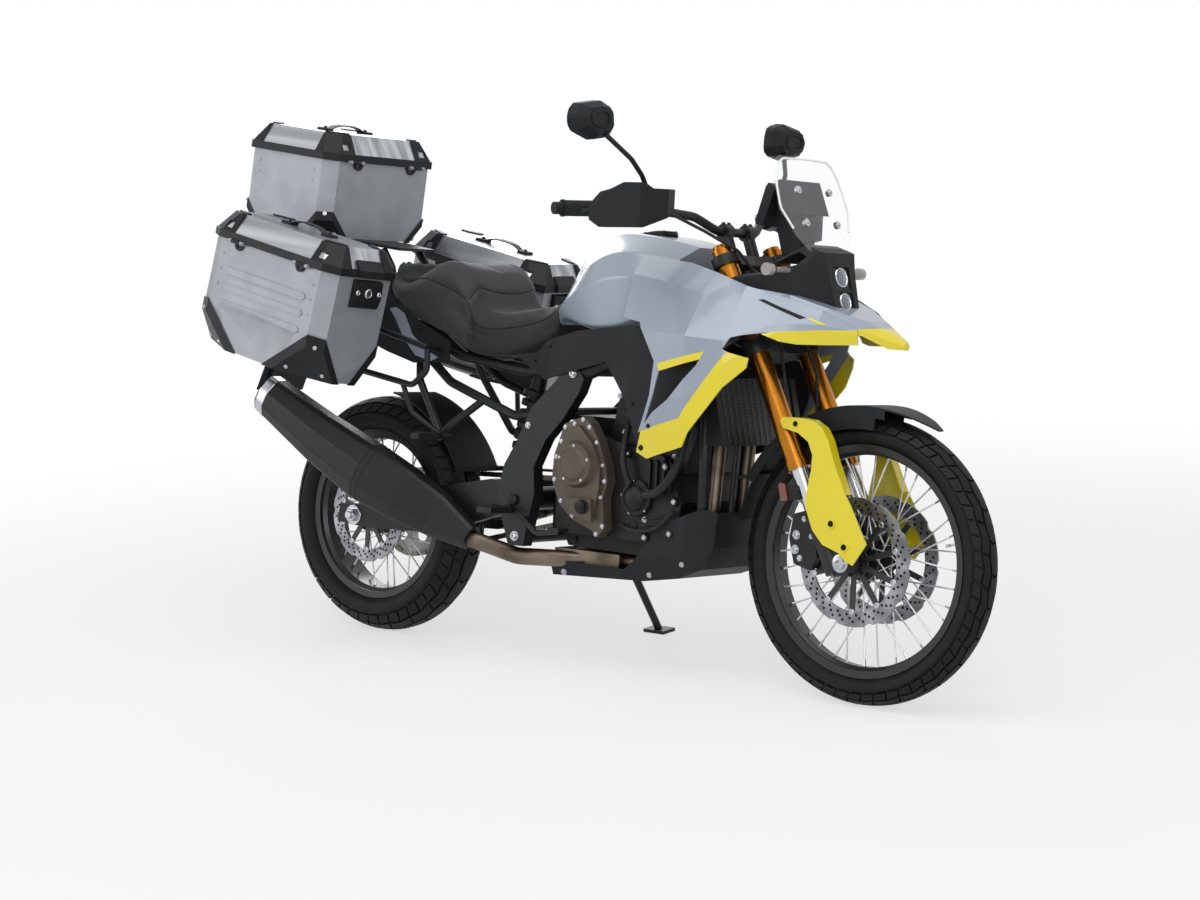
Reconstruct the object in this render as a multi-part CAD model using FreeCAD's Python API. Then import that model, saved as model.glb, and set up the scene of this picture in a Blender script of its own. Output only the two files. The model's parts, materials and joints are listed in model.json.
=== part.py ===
import FreeCAD, Part
import math
import os
from functools import cache

# Adventure touring motorcycle with three aluminium cases, leaning on its side stand.
# Lengths are millimetres and angles degrees. Every piece is modelled on the upright
# machine: +X forward, +Y to the rider's left, +Z up, ground at Z = 0 and the front
# axle over FRONT_AXLE_X. park() then leans it onto the stand and centres it over the origin.

# ---------------------------------------------------------------- driving sizes
WHEELBASE = 1570.0             # sets the swingarm's length: the frame stays with the front axle
FRONT_AXLE_X = 1570.0
LEAN = 8.0                     # parked lean to the left
RAKE = 27.0                    # steering axis, back from the vertical
TRAIL = 114.0                  # steering axis meets the ground this far ahead of the tyre
FORK_OFFSET = 24.0             # fork tubes ahead of the steering axis

FRONT_TYRE_R = 347.0
FRONT_TYRE_W = 92.0
FRONT_CROWN_R = 47.0
FRONT_BEAD_R = 268.0
FRONT_RIM_W = 68.0
REAR_TYRE_R = 321.0
REAR_TYRE_W = 150.0
REAR_CROWN_R = 80.0
REAR_BEAD_R = 219.0
REAR_RIM_W = 112.0
FLANGE_H = 12.0                # rim flange over the bead seat
RIM_WALL = 5.0
SPOKES = 36
SPOKE_R = 2.0

FORK_SPREAD = 105.0            # fork tubes each side of the middle
FORK_TUBE_R = 26.0
FORK_LEG_R = 21.5
FORK_TOP_Z = 1074.0
FORK_COLLAR_Z = 578.0

HOSE_R = 4.0
FRONT_DISC_R = 155.0
REAR_DISC_R = 130.0
FRONT_DISC_Y = 63.0
REAR_DISC_Y = 84.0
DISC_T = 5.0
PAD_GAP = 8.0                  # half the slot of a caliper
SPROCKET_R = 110.0
DRIVE_SPROCKET = (664.0, 417.0)
DRIVE_SPROCKET_R = 38.0
CHAIN_Y = 98.0
CHAIN_W = 16.0

CASE_WALL = 3.0
SIDE_CASE_LENGTH = 480.0
SIDE_CASE_DEPTH = 235.0
SIDE_CASE_HEIGHT = 282.0
TOP_CASE_LENGTH = 330.0
TOP_CASE_WIDTH = 417.0
TOP_CASE_HEIGHT = 207.0
LID_HEIGHT = 72.0
LID_FRAME_HEIGHT = 21.0
LID_SLOPE = 30.0               # how far a lid's sides lean in
LID_LIP = 7.0                  # lid frame proud of the case walls
CORNER_PIECE_T = 4.0
CORNER_CAP_T = 3.0
HINGE_OUT = 10.0               # hinge line outside the case walls
HINGE_PIN_R = 2.5
KNUCKLE_R = 5.0
KNUCKLE_HALF = 16.0            # half the length of a lid's knuckle
KNUCKLE_END = 29.0             # outer end of the case's knuckles
CASE_GAP = 0.6                 # seal gap between a case and its lid

ENGINE_HALF = 148.0            # crankcase halves
PANEL_T = 4.0                  # moulded body panels
LAMP_HALF = 33.0               # half the width of the two headlamps
STEER_GAP = 6.0                # what turns with the fork clears what does not
PIN_FIT = 0.05                 # radial clearance of a shaft in its bore


# ---------------------------------------------------------------- small tools
def vec(x, y, z):
    return FreeCAD.Vector(x, y, z)


def block(x0, x1, y0, y1, z0, z1):
    return Part.makeBox(x1 - x0, y1 - y0, z1 - z0, vec(x0, y0, z0))


def rod(start, end, radius, end_radius=None):
    """Round bar, or a cone, between two points."""
    start, end = FreeCAD.Vector(*start), FreeCAD.Vector(*end)
    along = end - start
    if end_radius is None or end_radius == radius:
        return Part.makeCylinder(radius, along.Length, start, along)
    return Part.makeCone(radius, end_radius, along.Length, start, along)


def tube(route, radius, bend):
    """Round tube along straight runs joined by tangent arcs."""
    points = [FreeCAD.Vector(*p) for p in route]
    edges = []
    last = points[0]
    for i in range(1, len(points) - 1):
        back = points[i - 1] - points[i]
        ahead = points[i + 1] - points[i]
        turn = math.pi - back.getAngle(ahead)
        reach = 0.45 * min(back.Length, ahead.Length)
        r = min(bend, reach / math.tan(turn / 2))
        cut = r * math.tan(turn / 2)
        back.normalize()
        ahead.normalize()
        a = points[i] + back * cut
        b = points[i] + ahead * cut
        inward = (back + ahead).normalize()
        centre = points[i] + inward * (r / math.cos(turn / 2))
        middle = centre - inward * r
        edges.append(Part.LineSegment(last, a).toShape())
        edges.append(Part.Arc(a, middle, b).toShape())
        last = b
    edges.append(Part.LineSegment(last, points[-1]).toShape())
    spine = Part.Wire(edges)
    ring = Part.Wire(Part.Circle(points[0], points[1] - points[0], radius).toShape())
    return spine.makePipeShell([ring], True, False)


def outline_face(points):
    return Part.Face(Part.makePolygon([FreeCAD.Vector(*p) for p in points + [points[0]]]))


def side_plate(outline, y0, y1):
    """Outline of (x, z) points, y0 to y1 thick."""
    face = outline_face([(x, y0, z) for x, z in outline])
    return face.extrude(vec(0, y1 - y0, 0))


def plan_plate(outline, z0, z1):
    """Outline of (x, y) points, z0 to z1 thick."""
    face = outline_face([(x, y, z0) for x, y in outline])
    return face.extrude(vec(0, 0, z1 - z0))


def front_plate(outline, x0, x1):
    """Outline of (y, z) points, x0 to x1 thick."""
    face = outline_face([(x0, y, z) for y, z in outline])
    return face.extrude(vec(x1 - x0, 0, 0))


def other_side(shape):
    return shape.mirror(vec(0, 0, 0), vec(0, 1, 0))


def pair(shape):
    return Part.makeCompound([shape, other_side(shape)])


def join(shapes):
    """One solid from pieces that touch or cross."""
    whole = shapes[0].fuse(shapes[1:]) if len(shapes) > 1 else shapes[0]
    return whole.removeSplitter()


def turned(profile, centre):
    """Ring about the Y direction through centre, from (radius, y) points."""
    cx, cz = centre
    face = outline_face([(cx + r, y, cz) for r, y in profile])
    return face.revolve(vec(cx, 0, cz), vec(0, 1, 0), 360)


def mirrored_outline(half):
    """(width, z) points of the left half, closed over the middle."""
    return half + [(-w, z) for w, z in reversed(half)]


def rounded_section(corners, radius):
    """Closed wire through 3-D corners, each rounded by an arc."""
    points = [FreeCAD.Vector(*c) for c in corners]
    count = len(points)
    entry, exit_, middle = [], [], []
    for i in range(count):
        back = points[i - 1] - points[i]
        ahead = points[(i + 1) % count] - points[i]
        turn = math.pi - back.getAngle(ahead)
        r = min(radius, 0.42 * min(back.Length, ahead.Length) / math.tan(turn / 2))
        cut = r * math.tan(turn / 2)
        back.normalize()
        ahead.normalize()
        inward = (back + ahead).normalize()
        entry.append(points[i] + back * cut)
        exit_.append(points[i] + ahead * cut)
        middle.append(points[i] + inward * (r / math.cos(turn / 2) - r))
    edges = []
    for i in range(count):
        edges.append(Part.Arc(entry[i], middle[i], exit_[i]).toShape())
        edges.append(Part.LineSegment(exit_[i], entry[(i + 1) % count]).toShape())
    return Part.Wire(edges)


def body_loft(stations, radius, ruled=False):
    """Solid through cross sections; a station is (x, half outline of (width, z))."""
    wires = []
    for x, half in stations:
        corners = [(x, w, z) for w, z in mirrored_outline(half)]
        wires.append(rounded_section(corners, radius))
    return Part.makeLoft(wires, True, ruled)


def skin_loft(stations, thickness):
    """One-sided moulded skin; a station is (x, outer points of (y, z) from the top down)."""
    wires = []
    for x, outer in stations:
        inner = [(y - thickness, z) for y, z in reversed(outer)]
        ring = [vec(x, y, z) for y, z in outer + inner]
        wires.append(Part.makePolygon(ring + [ring[0]]))
    return Part.makeLoft(wires, True, True)


# ---------------------------------------------------------------- steering geometry
SIN_RAKE = math.sin(math.radians(RAKE))
COS_RAKE = math.cos(math.radians(RAKE))


def axle_height(tyre_r, crown_r):
    """Upright height that sets a round-crowned tyre on the ground once leaned."""
    return tyre_r - crown_r + crown_r / math.cos(math.radians(LEAN))


FRONT_AXLE_Z = axle_height(FRONT_TYRE_R, FRONT_CROWN_R)
REAR_AXLE_Z = axle_height(REAR_TYRE_R, REAR_CROWN_R)
FRONT_AXLE = (FRONT_AXLE_X, FRONT_AXLE_Z)
REAR_AXLE = (FRONT_AXLE_X - WHEELBASE, REAR_AXLE_Z)
STEER_FOOT_X = FRONT_AXLE_X + TRAIL


def steer(along, ahead, y=0.0):
    """Point by its distance up the steering axis and square ahead of it."""
    return (STEER_FOOT_X - along * SIN_RAKE + ahead * COS_RAKE, y,
            along * COS_RAKE + ahead * SIN_RAKE)


def fork_along(z):
    """Distance up the steering axis at which a fork tube's middle is at height z."""
    return (z - FORK_OFFSET * SIN_RAKE) / COS_RAKE


AXLE_ALONG = TRAIL * SIN_RAKE + FRONT_AXLE_Z * COS_RAKE
AXLE_AHEAD = FRONT_AXLE_Z * SIN_RAKE - TRAIL * COS_RAKE
STEER_AXIS_POINT = steer(900.0, 0.0)
STEER_AXIS = (-SIN_RAKE, 0.0, COS_RAKE)


# ---------------------------------------------------------------- wheels
def tyre(axle, radius, width, crown_r, bead_r, rim_width):
    cx, cz = axle
    half = width / 2
    shoulder = radius - crown_r + math.sqrt(crown_r ** 2 - half ** 2)
    bead = rim_width / 2 - 6
    lip_r = bead_r + FLANGE_H
    middle_r = (shoulder + lip_r) / 2

    def at(r, y):
        return vec(cx + r, y, cz)
    edges = [
        Part.LineSegment(at(bead_r, -bead), at(bead_r, bead)).toShape(),
        Part.LineSegment(at(bead_r, bead), at(lip_r, bead)).toShape(),
        Part.Arc(at(lip_r, bead), at(middle_r, half - 2), at(shoulder, half)).toShape(),
        Part.Arc(at(shoulder, half), at(radius, 0), at(shoulder, -half)).toShape(),
        Part.Arc(at(shoulder, -half), at(middle_r, 2 - half), at(lip_r, -bead)).toShape(),
        Part.LineSegment(at(lip_r, -bead), at(bead_r, -bead)).toShape(),
    ]
    return Part.Face(Part.Wire(edges)).revolve(vec(cx, 0, cz), vec(0, 1, 0), 360)


def rim(axle, bead_r, width):
    half = width / 2
    flange = bead_r + FLANGE_H
    well = bead_r - 9
    deep = half - 20
    outer = [(flange, half), (flange, half - 6), (bead_r, half - 6), (bead_r, deep + 8), (well, deep)]
    inner = [(well - RIM_WALL, deep - 2), (bead_r - RIM_WALL, deep + 7), (bead_r - RIM_WALL, half - 1)]
    back = [(r, -y) for r, y in reversed(inner)] + inner
    profile = outer + [(r, -y) for r, y in reversed(outer)] + back
    return turned(profile, axle)


def hub(axle, barrel_r, flange_r, flange_y, half_width, bore_r):
    profile = [
        (bore_r, half_width), (barrel_r, half_width), (barrel_r, flange_y + 5),
        (flange_r, flange_y + 3), (flange_r, flange_y - 3), (barrel_r, flange_y - 8),
        (barrel_r, -flange_y + 8), (flange_r, -flange_y + 3), (flange_r, -flange_y - 3),
        (barrel_r, -flange_y - 5), (barrel_r, -half_width), (bore_r, -half_width),
    ]
    return turned(profile, axle)


def spokes(axle, flange_r, flange_y, rim_r, rim_y):
    """Crossed spokes: four to a group, both flanges and both leans."""
    cx, cz = axle
    cross = 58.0                # each spoke leans this far round the hub
    bars = []
    for i in range(SPOKES):
        side = 1 if i % 2 else -1
        lean = 1 if i % 4 < 2 else -1
        rim_at = math.radians(360.0 / SPOKES * i)
        hub_at = rim_at + lean * math.radians(cross)
        y_hub = side * (flange_y + lean * 2.5)
        start = (cx + flange_r * math.cos(hub_at), y_hub, cz + flange_r * math.sin(hub_at))
        end = (cx + rim_r * math.cos(rim_at), side * rim_y, cz + rim_r * math.sin(rim_at))
        bars.append(rod(start, end, SPOKE_R))
    return bars


def spoked_wheel(axle, bead_r, rim_width, hub_size):
    core = hub(axle, **hub_size)
    bars = spokes(axle, hub_size["flange_r"] - 5, hub_size["flange_y"], bead_r - 11, 6.0)
    return join([core, rim(axle, bead_r, rim_width)] + bars)


def wavy_disc(axle, y, radius, inner_r, waves):
    """Brake disc with a scalloped edge on a spider of arms."""
    cx, cz = axle
    ring = rod((cx, y - DISC_T / 2, cz), (cx, y + DISC_T / 2, cz), radius)
    ring = ring.cut(rod((cx, y - DISC_T, cz), (cx, y + DISC_T, cz), inner_r))
    bites = []
    for i in range(waves):
        a = 2 * math.pi * i / waves
        far = radius + 17.0
        bx, bz = cx + far * math.cos(a), cz + far * math.sin(a)
        bites.append(rod((bx, y - DISC_T, bz), (bx, y + DISC_T, bz), 22.0))
        near = inner_r - 8.0
        b = a + math.pi / waves
        bx, bz = cx + near * math.cos(b), cz + near * math.sin(b)
        bites.append(rod((bx, y - DISC_T, bz), (bx, y + DISC_T, bz), 13.0))
    return ring.cut(bites)


def disc_spider(axle, y, seat_r, inner_r, arms, thickness):
    """Carrier between hub and disc ring."""
    cx, cz = axle
    plate = rod((cx, y - thickness / 2, cz), (cx, y + thickness / 2, cz), seat_r + 14)
    bars = []
    for i in range(arms):
        a = 2 * math.pi * (i + 0.5) / arms
        arm = block(cx, cx + inner_r + 6, y - thickness / 2, y + thickness / 2, cz - 7, cz + 7)
        arm.rotate(vec(cx, y, cz), vec(0, 1, 0), -math.degrees(a))
        bars.append(arm)
    whole = join([plate] + bars)
    return whole.cut(rod((cx, y - thickness, cz), (cx, y + thickness, cz), seat_r))


def brake_disc(axle, y, radius, inner_r, seat_r):
    return join([wavy_disc(axle, y, radius, inner_r, 10), disc_spider(axle, y, seat_r, inner_r, 10, 4.0)])


def front_wheel():
    size = {"barrel_r": 24.0, "flange_r": 46.0, "flange_y": 30.0, "half_width": 72.0, "bore_r": 12.5}
    disc = brake_disc(FRONT_AXLE, FRONT_DISC_Y, FRONT_DISC_R, 118.0, 24.0)
    return {
        "front_tyre": tyre(FRONT_AXLE, FRONT_TYRE_R, FRONT_TYRE_W, FRONT_CROWN_R, FRONT_BEAD_R, FRONT_RIM_W),
        "front_spoked_wheel": spoked_wheel(FRONT_AXLE, FRONT_BEAD_R, FRONT_RIM_W, size),
        "front_discs": pair(disc),
    }


def rear_wheel():
    size = {"barrel_r": 32.0, "flange_r": 56.0, "flange_y": 38.0, "half_width": 88.0, "bore_r": 12.5}
    nose = {"radius": 25.9, "length": 15.5}    # sprocket carrier beyond the hub
    disc = brake_disc(REAR_AXLE, -REAR_DISC_Y, REAR_DISC_R, 96.0, 32.0)
    cx, cz = REAR_AXLE
    y0, y1 = CHAIN_Y - 4, CHAIN_Y + 4
    ring = rod((cx, y0, cz), (cx, y1, cz), SPROCKET_R).cut(rod((cx, y0 - 1, cz), (cx, y1 + 1, cz), 26.0))
    windows = []
    for i in range(6):
        a = math.radians(60 * i)
        wx, wz = cx + 72 * math.cos(a), cz + 72 * math.sin(a)
        windows.append(rod((wx, y0 - 1, wz), (wx, y1 + 1, wz), 19.0))
    y_hub, y_nose = size["half_width"] - 1, size["half_width"] + nose["length"]
    carrier = turned([(12.5, y_hub), (12.5, y_nose), (nose["radius"], y_nose), (nose["radius"], y_hub)],
                     REAR_AXLE)
    return {
        "rear_tyre": tyre(REAR_AXLE, REAR_TYRE_R, REAR_TYRE_W, REAR_CROWN_R, REAR_BEAD_R, REAR_RIM_W),
        "rear_spoked_wheel": join([spoked_wheel(REAR_AXLE, REAR_BEAD_R, REAR_RIM_W, size), carrier]),
        "rear_disc": disc,
        "rear_sprocket": ring.cut(windows),
    }


# ---------------------------------------------------------------- fork and handlebar
@cache
def fork_clamps():
    bodies = []
    for along, depth in ((fork_along(840.0), 34.0), (fork_along(1046.0), 26.0)):
        low, high = along - depth / 2, along + depth / 2
        for side in (1, -1):
            y = side * FORK_SPREAD
            bodies.append(rod(steer(low, FORK_OFFSET, y), steer(high, FORK_OFFSET, y), FORK_TUBE_R + 9))
        bridge = outline_face([
            steer(low, -28, -40), steer(low, -28, 40), steer(low, FORK_OFFSET - 20, FORK_SPREAD),
            steer(low, FORK_OFFSET + 20, FORK_SPREAD), steer(low, FORK_OFFSET + 12, 0),
            steer(low, FORK_OFFSET + 20, -FORK_SPREAD), steer(low, FORK_OFFSET - 20, -FORK_SPREAD),
        ])
        bodies.append(bridge.extrude(vec(*STEER_AXIS) * depth))
    stem = rod(steer(fork_along(840.0), 0), steer(fork_along(1062.0), 0), 15.0)
    whole = join(bodies + [stem])
    for side in (1, -1):
        y = side * FORK_SPREAD
        whole = whole.cut(rod(steer(780, FORK_OFFSET, y), steer(1300, FORK_OFFSET, y), FORK_TUBE_R))
    return whole


@cache
def fork_tubes():
    low = fork_along(FORK_COLLAR_Z)
    high = fork_along(FORK_TOP_Z)
    y = FORK_SPREAD
    body = rod(steer(low, FORK_OFFSET, y), steer(high, FORK_OFFSET, y), FORK_TUBE_R)
    collar = rod(steer(low - 22, FORK_OFFSET, y), steer(low, FORK_OFFSET, y), FORK_TUBE_R + 3)
    cap = rod(steer(high, FORK_OFFSET, y), steer(high + 10, FORK_OFFSET, y), FORK_TUBE_R - 5)
    return pair(join([body, collar, cap]))


@cache
def fork_legs():
    top = fork_along(FORK_COLLAR_Z) - 22
    y = FORK_SPREAD
    leg = rod(steer(AXLE_ALONG + 60, FORK_OFFSET, y), steer(top, FORK_OFFSET, y), FORK_LEG_R)
    boot = rod(steer(AXLE_ALONG - 12, FORK_OFFSET, y), steer(AXLE_ALONG + 150, FORK_OFFSET, y),
               FORK_LEG_R + 4)
    ax, az = FRONT_AXLE
    eye = rod((ax, y - 24, az), (ax, y + 20, az), 25.0)
    web = outline_face([
        steer(AXLE_ALONG - 22, FORK_OFFSET, y - 16), steer(AXLE_ALONG - 18, AXLE_AHEAD + 4, y - 16),
        steer(AXLE_ALONG + 20, AXLE_AHEAD + 8, y - 16), steer(AXLE_ALONG + 95, FORK_OFFSET + 8, y - 16),
    ]).extrude(vec(0, 32, 0))
    legs = [leg, boot, eye, web]
    axle = rod((ax, -y, az), (ax, y, az), 12.45)
    return join(legs + [other_side(p) for p in legs] + [axle])


@cache
def handlebar():
    half = [(936, 460, 1154), (1034, 225, 1164), (1100, 140, 1152), (1128, 78, 1119)]
    route = half + [(x, -y, z) for x, y, z in reversed(half)]
    bar = tube(route, 11.0, 60.0)
    feet = []
    for side in (1, -1):
        foot_top = (1128, side * 45, 1119)
        foot_low = steer(fork_along(1046.0) + 13, 6, side * 45)
        feet.append(rod(foot_low, foot_top, 15.0))
        feet.append(rod((1128, side * 32, 1119), (1128, side * 58, 1119), 20.0))
    return join([bar] + feet).cut(fork_clamps())


@cache
def hand_controls():
    """Grip, switch housing, reservoir and lever of one side, mirrored."""
    outer, inner = vec(940, 455, 1154), vec(984, 345, 1158.5)
    grip = rod(tuple(outer), tuple(inner), 17.5)
    end_weight = rod((932, 475, 1153), tuple(outer), 15.0)
    house_end = vec(1010, 283, 1161.4)
    house = rod(tuple(inner), tuple(house_end), 24.0)
    clamp_end = vec(1024, 249, 1163)
    clamp = rod(tuple(house_end), tuple(clamp_end), 18.0)
    cup = rod((1048, 262, 1166), (1048, 262, 1206), 22.0)
    neck = rod(tuple(clamp_end), (1048, 262, 1170), 13.0)
    perch = rod((1024, 262, 1162), (1072, 286, 1158), 12.0)
    lever = tube([(1072, 286, 1158), (1080, 330, 1154), (1010, 462, 1147)], 6.0, 40.0)
    whole = join([grip, end_weight, house, clamp, cup, neck, perch, lever])
    return pair(whole).cut(handlebar())


def hand_guards():
    """Shield ahead of each lever, thick as one moulding, and its bracket."""
    plan = [(1122, 250), (1142, 300), (1122, 384), (1070, 436), (1024, 456)]
    inside = [(1116, 248), (1136, 301), (1117, 380), (1067, 430), (1021, 450)]
    shell = plan_plate(plan + [(960, 300)], 1090, 1240).cut(plan_plate(inside + [(940, 280)], 1080, 1250))
    face = [(250, 1212), (346, 1210), (372, 1223), (408, 1221), (440, 1196), (458, 1142), (440, 1112),
            (372, 1116),
            (300, 1142), (250, 1162)]
    shield = shell.common(front_plate(face, 900, 1200))
    bracket = rod((1052, 276, 1170), (1136, 300, 1184), 8.0)
    return pair(join([shield, bracket])).cut(hand_controls())


def mirrors():
    """Curved stem and a domed head; each head's rear face is the glass side."""
    stem = tube([(1048, 262, 1206), (1051, 292, 1243), (1040, 322, 1280), (996, 372, 1336)], 6.0, 40.0)
    face = [(326, 1352), (342, 1330), (400, 1320), (466, 1338), (480, 1372), (460, 1404), (380, 1417),
            (334, 1402)]
    middle_y, middle_z = 402.0, 1370.0
    wires = []
    for x, scale in ((962, 1.0), (984, 0.97), (1006, 0.62)):
        ring = [(x, middle_y + (y - middle_y) * scale, middle_z + (z - middle_z) * scale) for y, z in face]
        wires.append(rounded_section(ring, 16.0 * scale))
    head = Part.makeLoft(wires, True, True)
    return pair(join([stem, head])).cut(hand_controls())


def arc_band(axle, inner_r, outer_r, half_width, start, stop):
    """Band of a ring about the axle between two angles from straight ahead."""
    cx, cz = axle
    face = outline_face([
        (cx + inner_r, -half_width, cz), (cx + outer_r, -half_width, cz),
        (cx + outer_r, half_width, cz), (cx + inner_r, half_width, cz),
    ])
    band = face.revolve(vec(cx, 0, cz), vec(0, 1, 0), -(stop - start))
    band.rotate(vec(cx, 0, cz), vec(0, 1, 0), -start)
    return band


def front_fender():
    """Roof that narrows to a point ahead, side skirts at the fork and a close rear flap."""
    inner = FRONT_TYRE_R + 22
    close = FRONT_TYRE_R + 11
    roof = arc_band(FRONT_AXLE, inner, inner + 4, 64, 61, 152)
    pieces = [roof, arc_band(FRONT_AXLE, close, close + 4, 50, 149, 169),
              arc_band(FRONT_AXLE, close, inner + 4, 50, 149, 152)]
    for side in (1, -1):
        for depth, start, stop in ((22, 61, 152), (52, 84, 112)):
            skirt = arc_band(FRONT_AXLE, inner - depth, inner + 4, 2, start, stop)
            skirt.translate(vec(0, side * 62, 0))
            pieces.append(skirt)
    ax, az = FRONT_AXLE
    bridge = block(ax - 175, ax - 100, 62, 78, az + inner - 76, az + inner - 44)
    plan = [(ax + 190, 4), (ax + 146, 30), (ax + 80, 54), (ax - 10, 80), (ax - 480, 80)]
    return join(pieces + [bridge, other_side(bridge)]).common(plan_box(plan))


def fork_guards():
    """Shield outside each fork leg: a wing at the top and two bosses at the foot."""
    outline = [(1384, 674), (1394, 682), (1443, 683), (1477, 680), (1507, 664), (1526, 636), (1543, 591),
               (1582, 511),
               (1597, 489), (1648, 400), (1612, 347), (1586, 358), (1571, 373), (1525, 388), (1494, 420),
               (1474, 466),
               (1469, 490), (1482, 562), (1483, 598), (1469, 628), (1439, 647), (1395, 656)]
    skin = side_plate(outline, FORK_SPREAD + 29, FORK_SPREAD + 33)
    lip = side_plate([(1394, 682), (1443, 683), (1477, 680), (1507, 664), (1526, 636), (1543, 591),
                      (1582, 511),
                      (1577, 509), (1538, 589), (1521, 633), (1503, 660), (1475, 675), (1443, 678),
                      (1394, 677)],
                     FORK_SPREAD + 4, FORK_SPREAD + 30)
    pieces = [skin, lip]
    for x, z in ((1548, 440), (1588, 388)):
        pieces.append(rod((x, FORK_SPREAD + 31, z), (x, FORK_SPREAD + 37, z), 13.0, 10.0))
        pieces.append(rod((x, FORK_SPREAD + 12, z), (x, FORK_SPREAD + 31, z), 6.0))
    return pair(join(pieces)).cut(fork_legs()).cut(fork_tubes())


def brake_hoses():
    """From the right lever's cylinder down between the fork legs to both calipers."""
    caliper = (1442, -70, 456)
    near = FORK_SPREAD - 55
    low = [steer(960, 66, -near), steer(850, 50, -near - 20), steer(700, -14, -near - 20), caliper]
    right = tube([(1062, -262, 1176), (1150, -165, 1118), (1208, -near - 50, 1074), steer(1090, 66, -near)] + low,
                 HOSE_R, 40.0)
    left = tube([steer(1080, 66, 3 - near), steer(1050, 67, near)] + [(x, -y, z) for x, y, z in low], HOSE_R,
                40.0)
    return join([right, left]).cut(hand_controls()).cut(front_calipers()).cut(fork_clamps())


@cache
def front_calipers():
    """Caliper over the back of each disc."""
    y0, y1 = FRONT_DISC_Y - 26, FRONT_DISC_Y + 30
    outline = [(1415, 330), (1462, 318), (1480, 350), (1472, 420), (1448, 462), (1408, 450), (1398, 390)]
    body = side_plate(outline, y0, y1)
    slot = rod((FRONT_AXLE[0], FRONT_DISC_Y - PAD_GAP, FRONT_AXLE_Z),
               (FRONT_AXLE[0], FRONT_DISC_Y + PAD_GAP, FRONT_AXLE_Z),
               FRONT_DISC_R + 6)
    leg = rod(steer(AXLE_ALONG - 20, FORK_OFFSET, FORK_SPREAD), steer(700, FORK_OFFSET, FORK_SPREAD),
              FORK_LEG_R + 4)
    return pair(body.cut(slot).cut(leg))


# ---------------------------------------------------------------- frame and running gear
@cache
def main_frame():
    head = rod(steer(fork_along(862), 0), steer(fork_along(1028), 0), 30.0)
    bore = rod(steer(700, 0), steer(1300, 0), 15.05)
    spar = tube([(1195, 6, 935), (1096, 80, 880), (960, 140, 828), (782, 163, 745)], 22.0, 90.0)
    down = tube([(1050, 100, 864), (1124, 160, 816), (1176, 152, 740), (1176, 150, 560), (1150, 112, 400),
                 (1108, 100, 300)], 14.0, 70.0)
    plate = side_plate([(815, 738), (790, 766), (741, 744), (648, 656), (600, 560), (566, 505), (548, 440),
                        (560, 380),
                        (590, 300), (640, 300), (654, 370), (670, 440), (664, 505), (700, 577), (752, 632),
                        (800, 700)],
                       150, 186)
    halves = [spar, down, plate]
    cross = [rod((672, -150, 640), (672, 150, 640), 16), rod((612, -150, 318), (612, 150, 318), 14)]
    whole = join([head] + halves + [other_side(h) for h in halves] + cross)
    pivot = rod((SWINGARM_PIVOT[0], -200, SWINGARM_PIVOT[1]), (SWINGARM_PIVOT[0], 200, SWINGARM_PIVOT[1]),
                14.0)
    return whole.cut(bore).cut(pivot)


SWINGARM_PIVOT = (604.0, 417.0)


@cache
def swingarm():
    px, pz = SWINGARM_PIVOT
    ax, az = REAR_AXLE
    arm = side_plate([(px + 20, pz + 34), (px - 120, pz + 42), (ax + 300, 424), (ax + 60, az + 34),
                      (ax - 52, az + 26), (ax - 60, az - 22), (ax + 40, az - 30), (ax + 300, 300),
                      (px - 60, pz - 40), (px + 20, pz - 34)],
                     108, 142)
    bridge = block(372, 470, -110, 110, 348, 418)
    tube_pivot = rod((px, -148, pz), (px, 148, pz), 30.0)
    axle = rod((ax, -150, az), (ax, 150, az), 12.45)
    pivot_bolt = rod((px, -182, pz), (px, 182, pz), 14.0)
    bar = join([arm, other_side(arm), bridge, tube_pivot, pivot_bolt, axle])
    hub_gap = rod((ax, -104, az), (ax, 104, az), 30.0)
    return bar.cut(hub_gap.cut(rod((ax, -104, az), (ax, 104, az), 12.45)))


def rear_shock():
    low, high = (455, 0, 440), (520, 0, 730)
    body = rod(low, high, 20.0)
    coils = []
    for i in range(7):
        t = 0.22 + 0.1 * i
        a = [low[k] + (high[k] - low[k]) * t for k in range(3)]
        b = [low[k] + (high[k] - low[k]) * (t + 0.045) for k in range(3)]
        coils.append(rod(a, b, 36.0))
    return join([body] + coils)


@cache
def engine():
    half = ENGINE_HALF
    case = side_plate([(712, 345), (1095, 345), (1110, 450), (1050, 560), (820, 600), (712, 570)], -half,
                      half)
    rear = side_plate([(650, 345), (714, 330), (714, 590), (690, 560), (650, 470)], -82, 82)
    sump = side_plate([(700, 346), (720, 308), (1010, 302), (1085, 346)], -100, 100)
    barrels = side_plate([(850, 560), (1090, 520), (1160, 700), (1120, 784), (930, 790), (880, 700)], -118,
                         118)
    cover = side_plate([(925, 795), (1122, 780), (1112, 812), (945, 824)], -84, 84)
    gearbox_top = side_plate([(690, 540), (850, 560), (850, 640), (715, 640)], -82, 110)
    return join([case, rear, sump, barrels, cover, gearbox_top]).cut(chain_room())


def chain_room():
    """Space that the chain and its drive sprocket run in, behind the crankcase."""
    return block(560, 722, CHAIN_Y - CHAIN_W / 2 - 8, ENGINE_HALF + 40, 340, 492)


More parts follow.
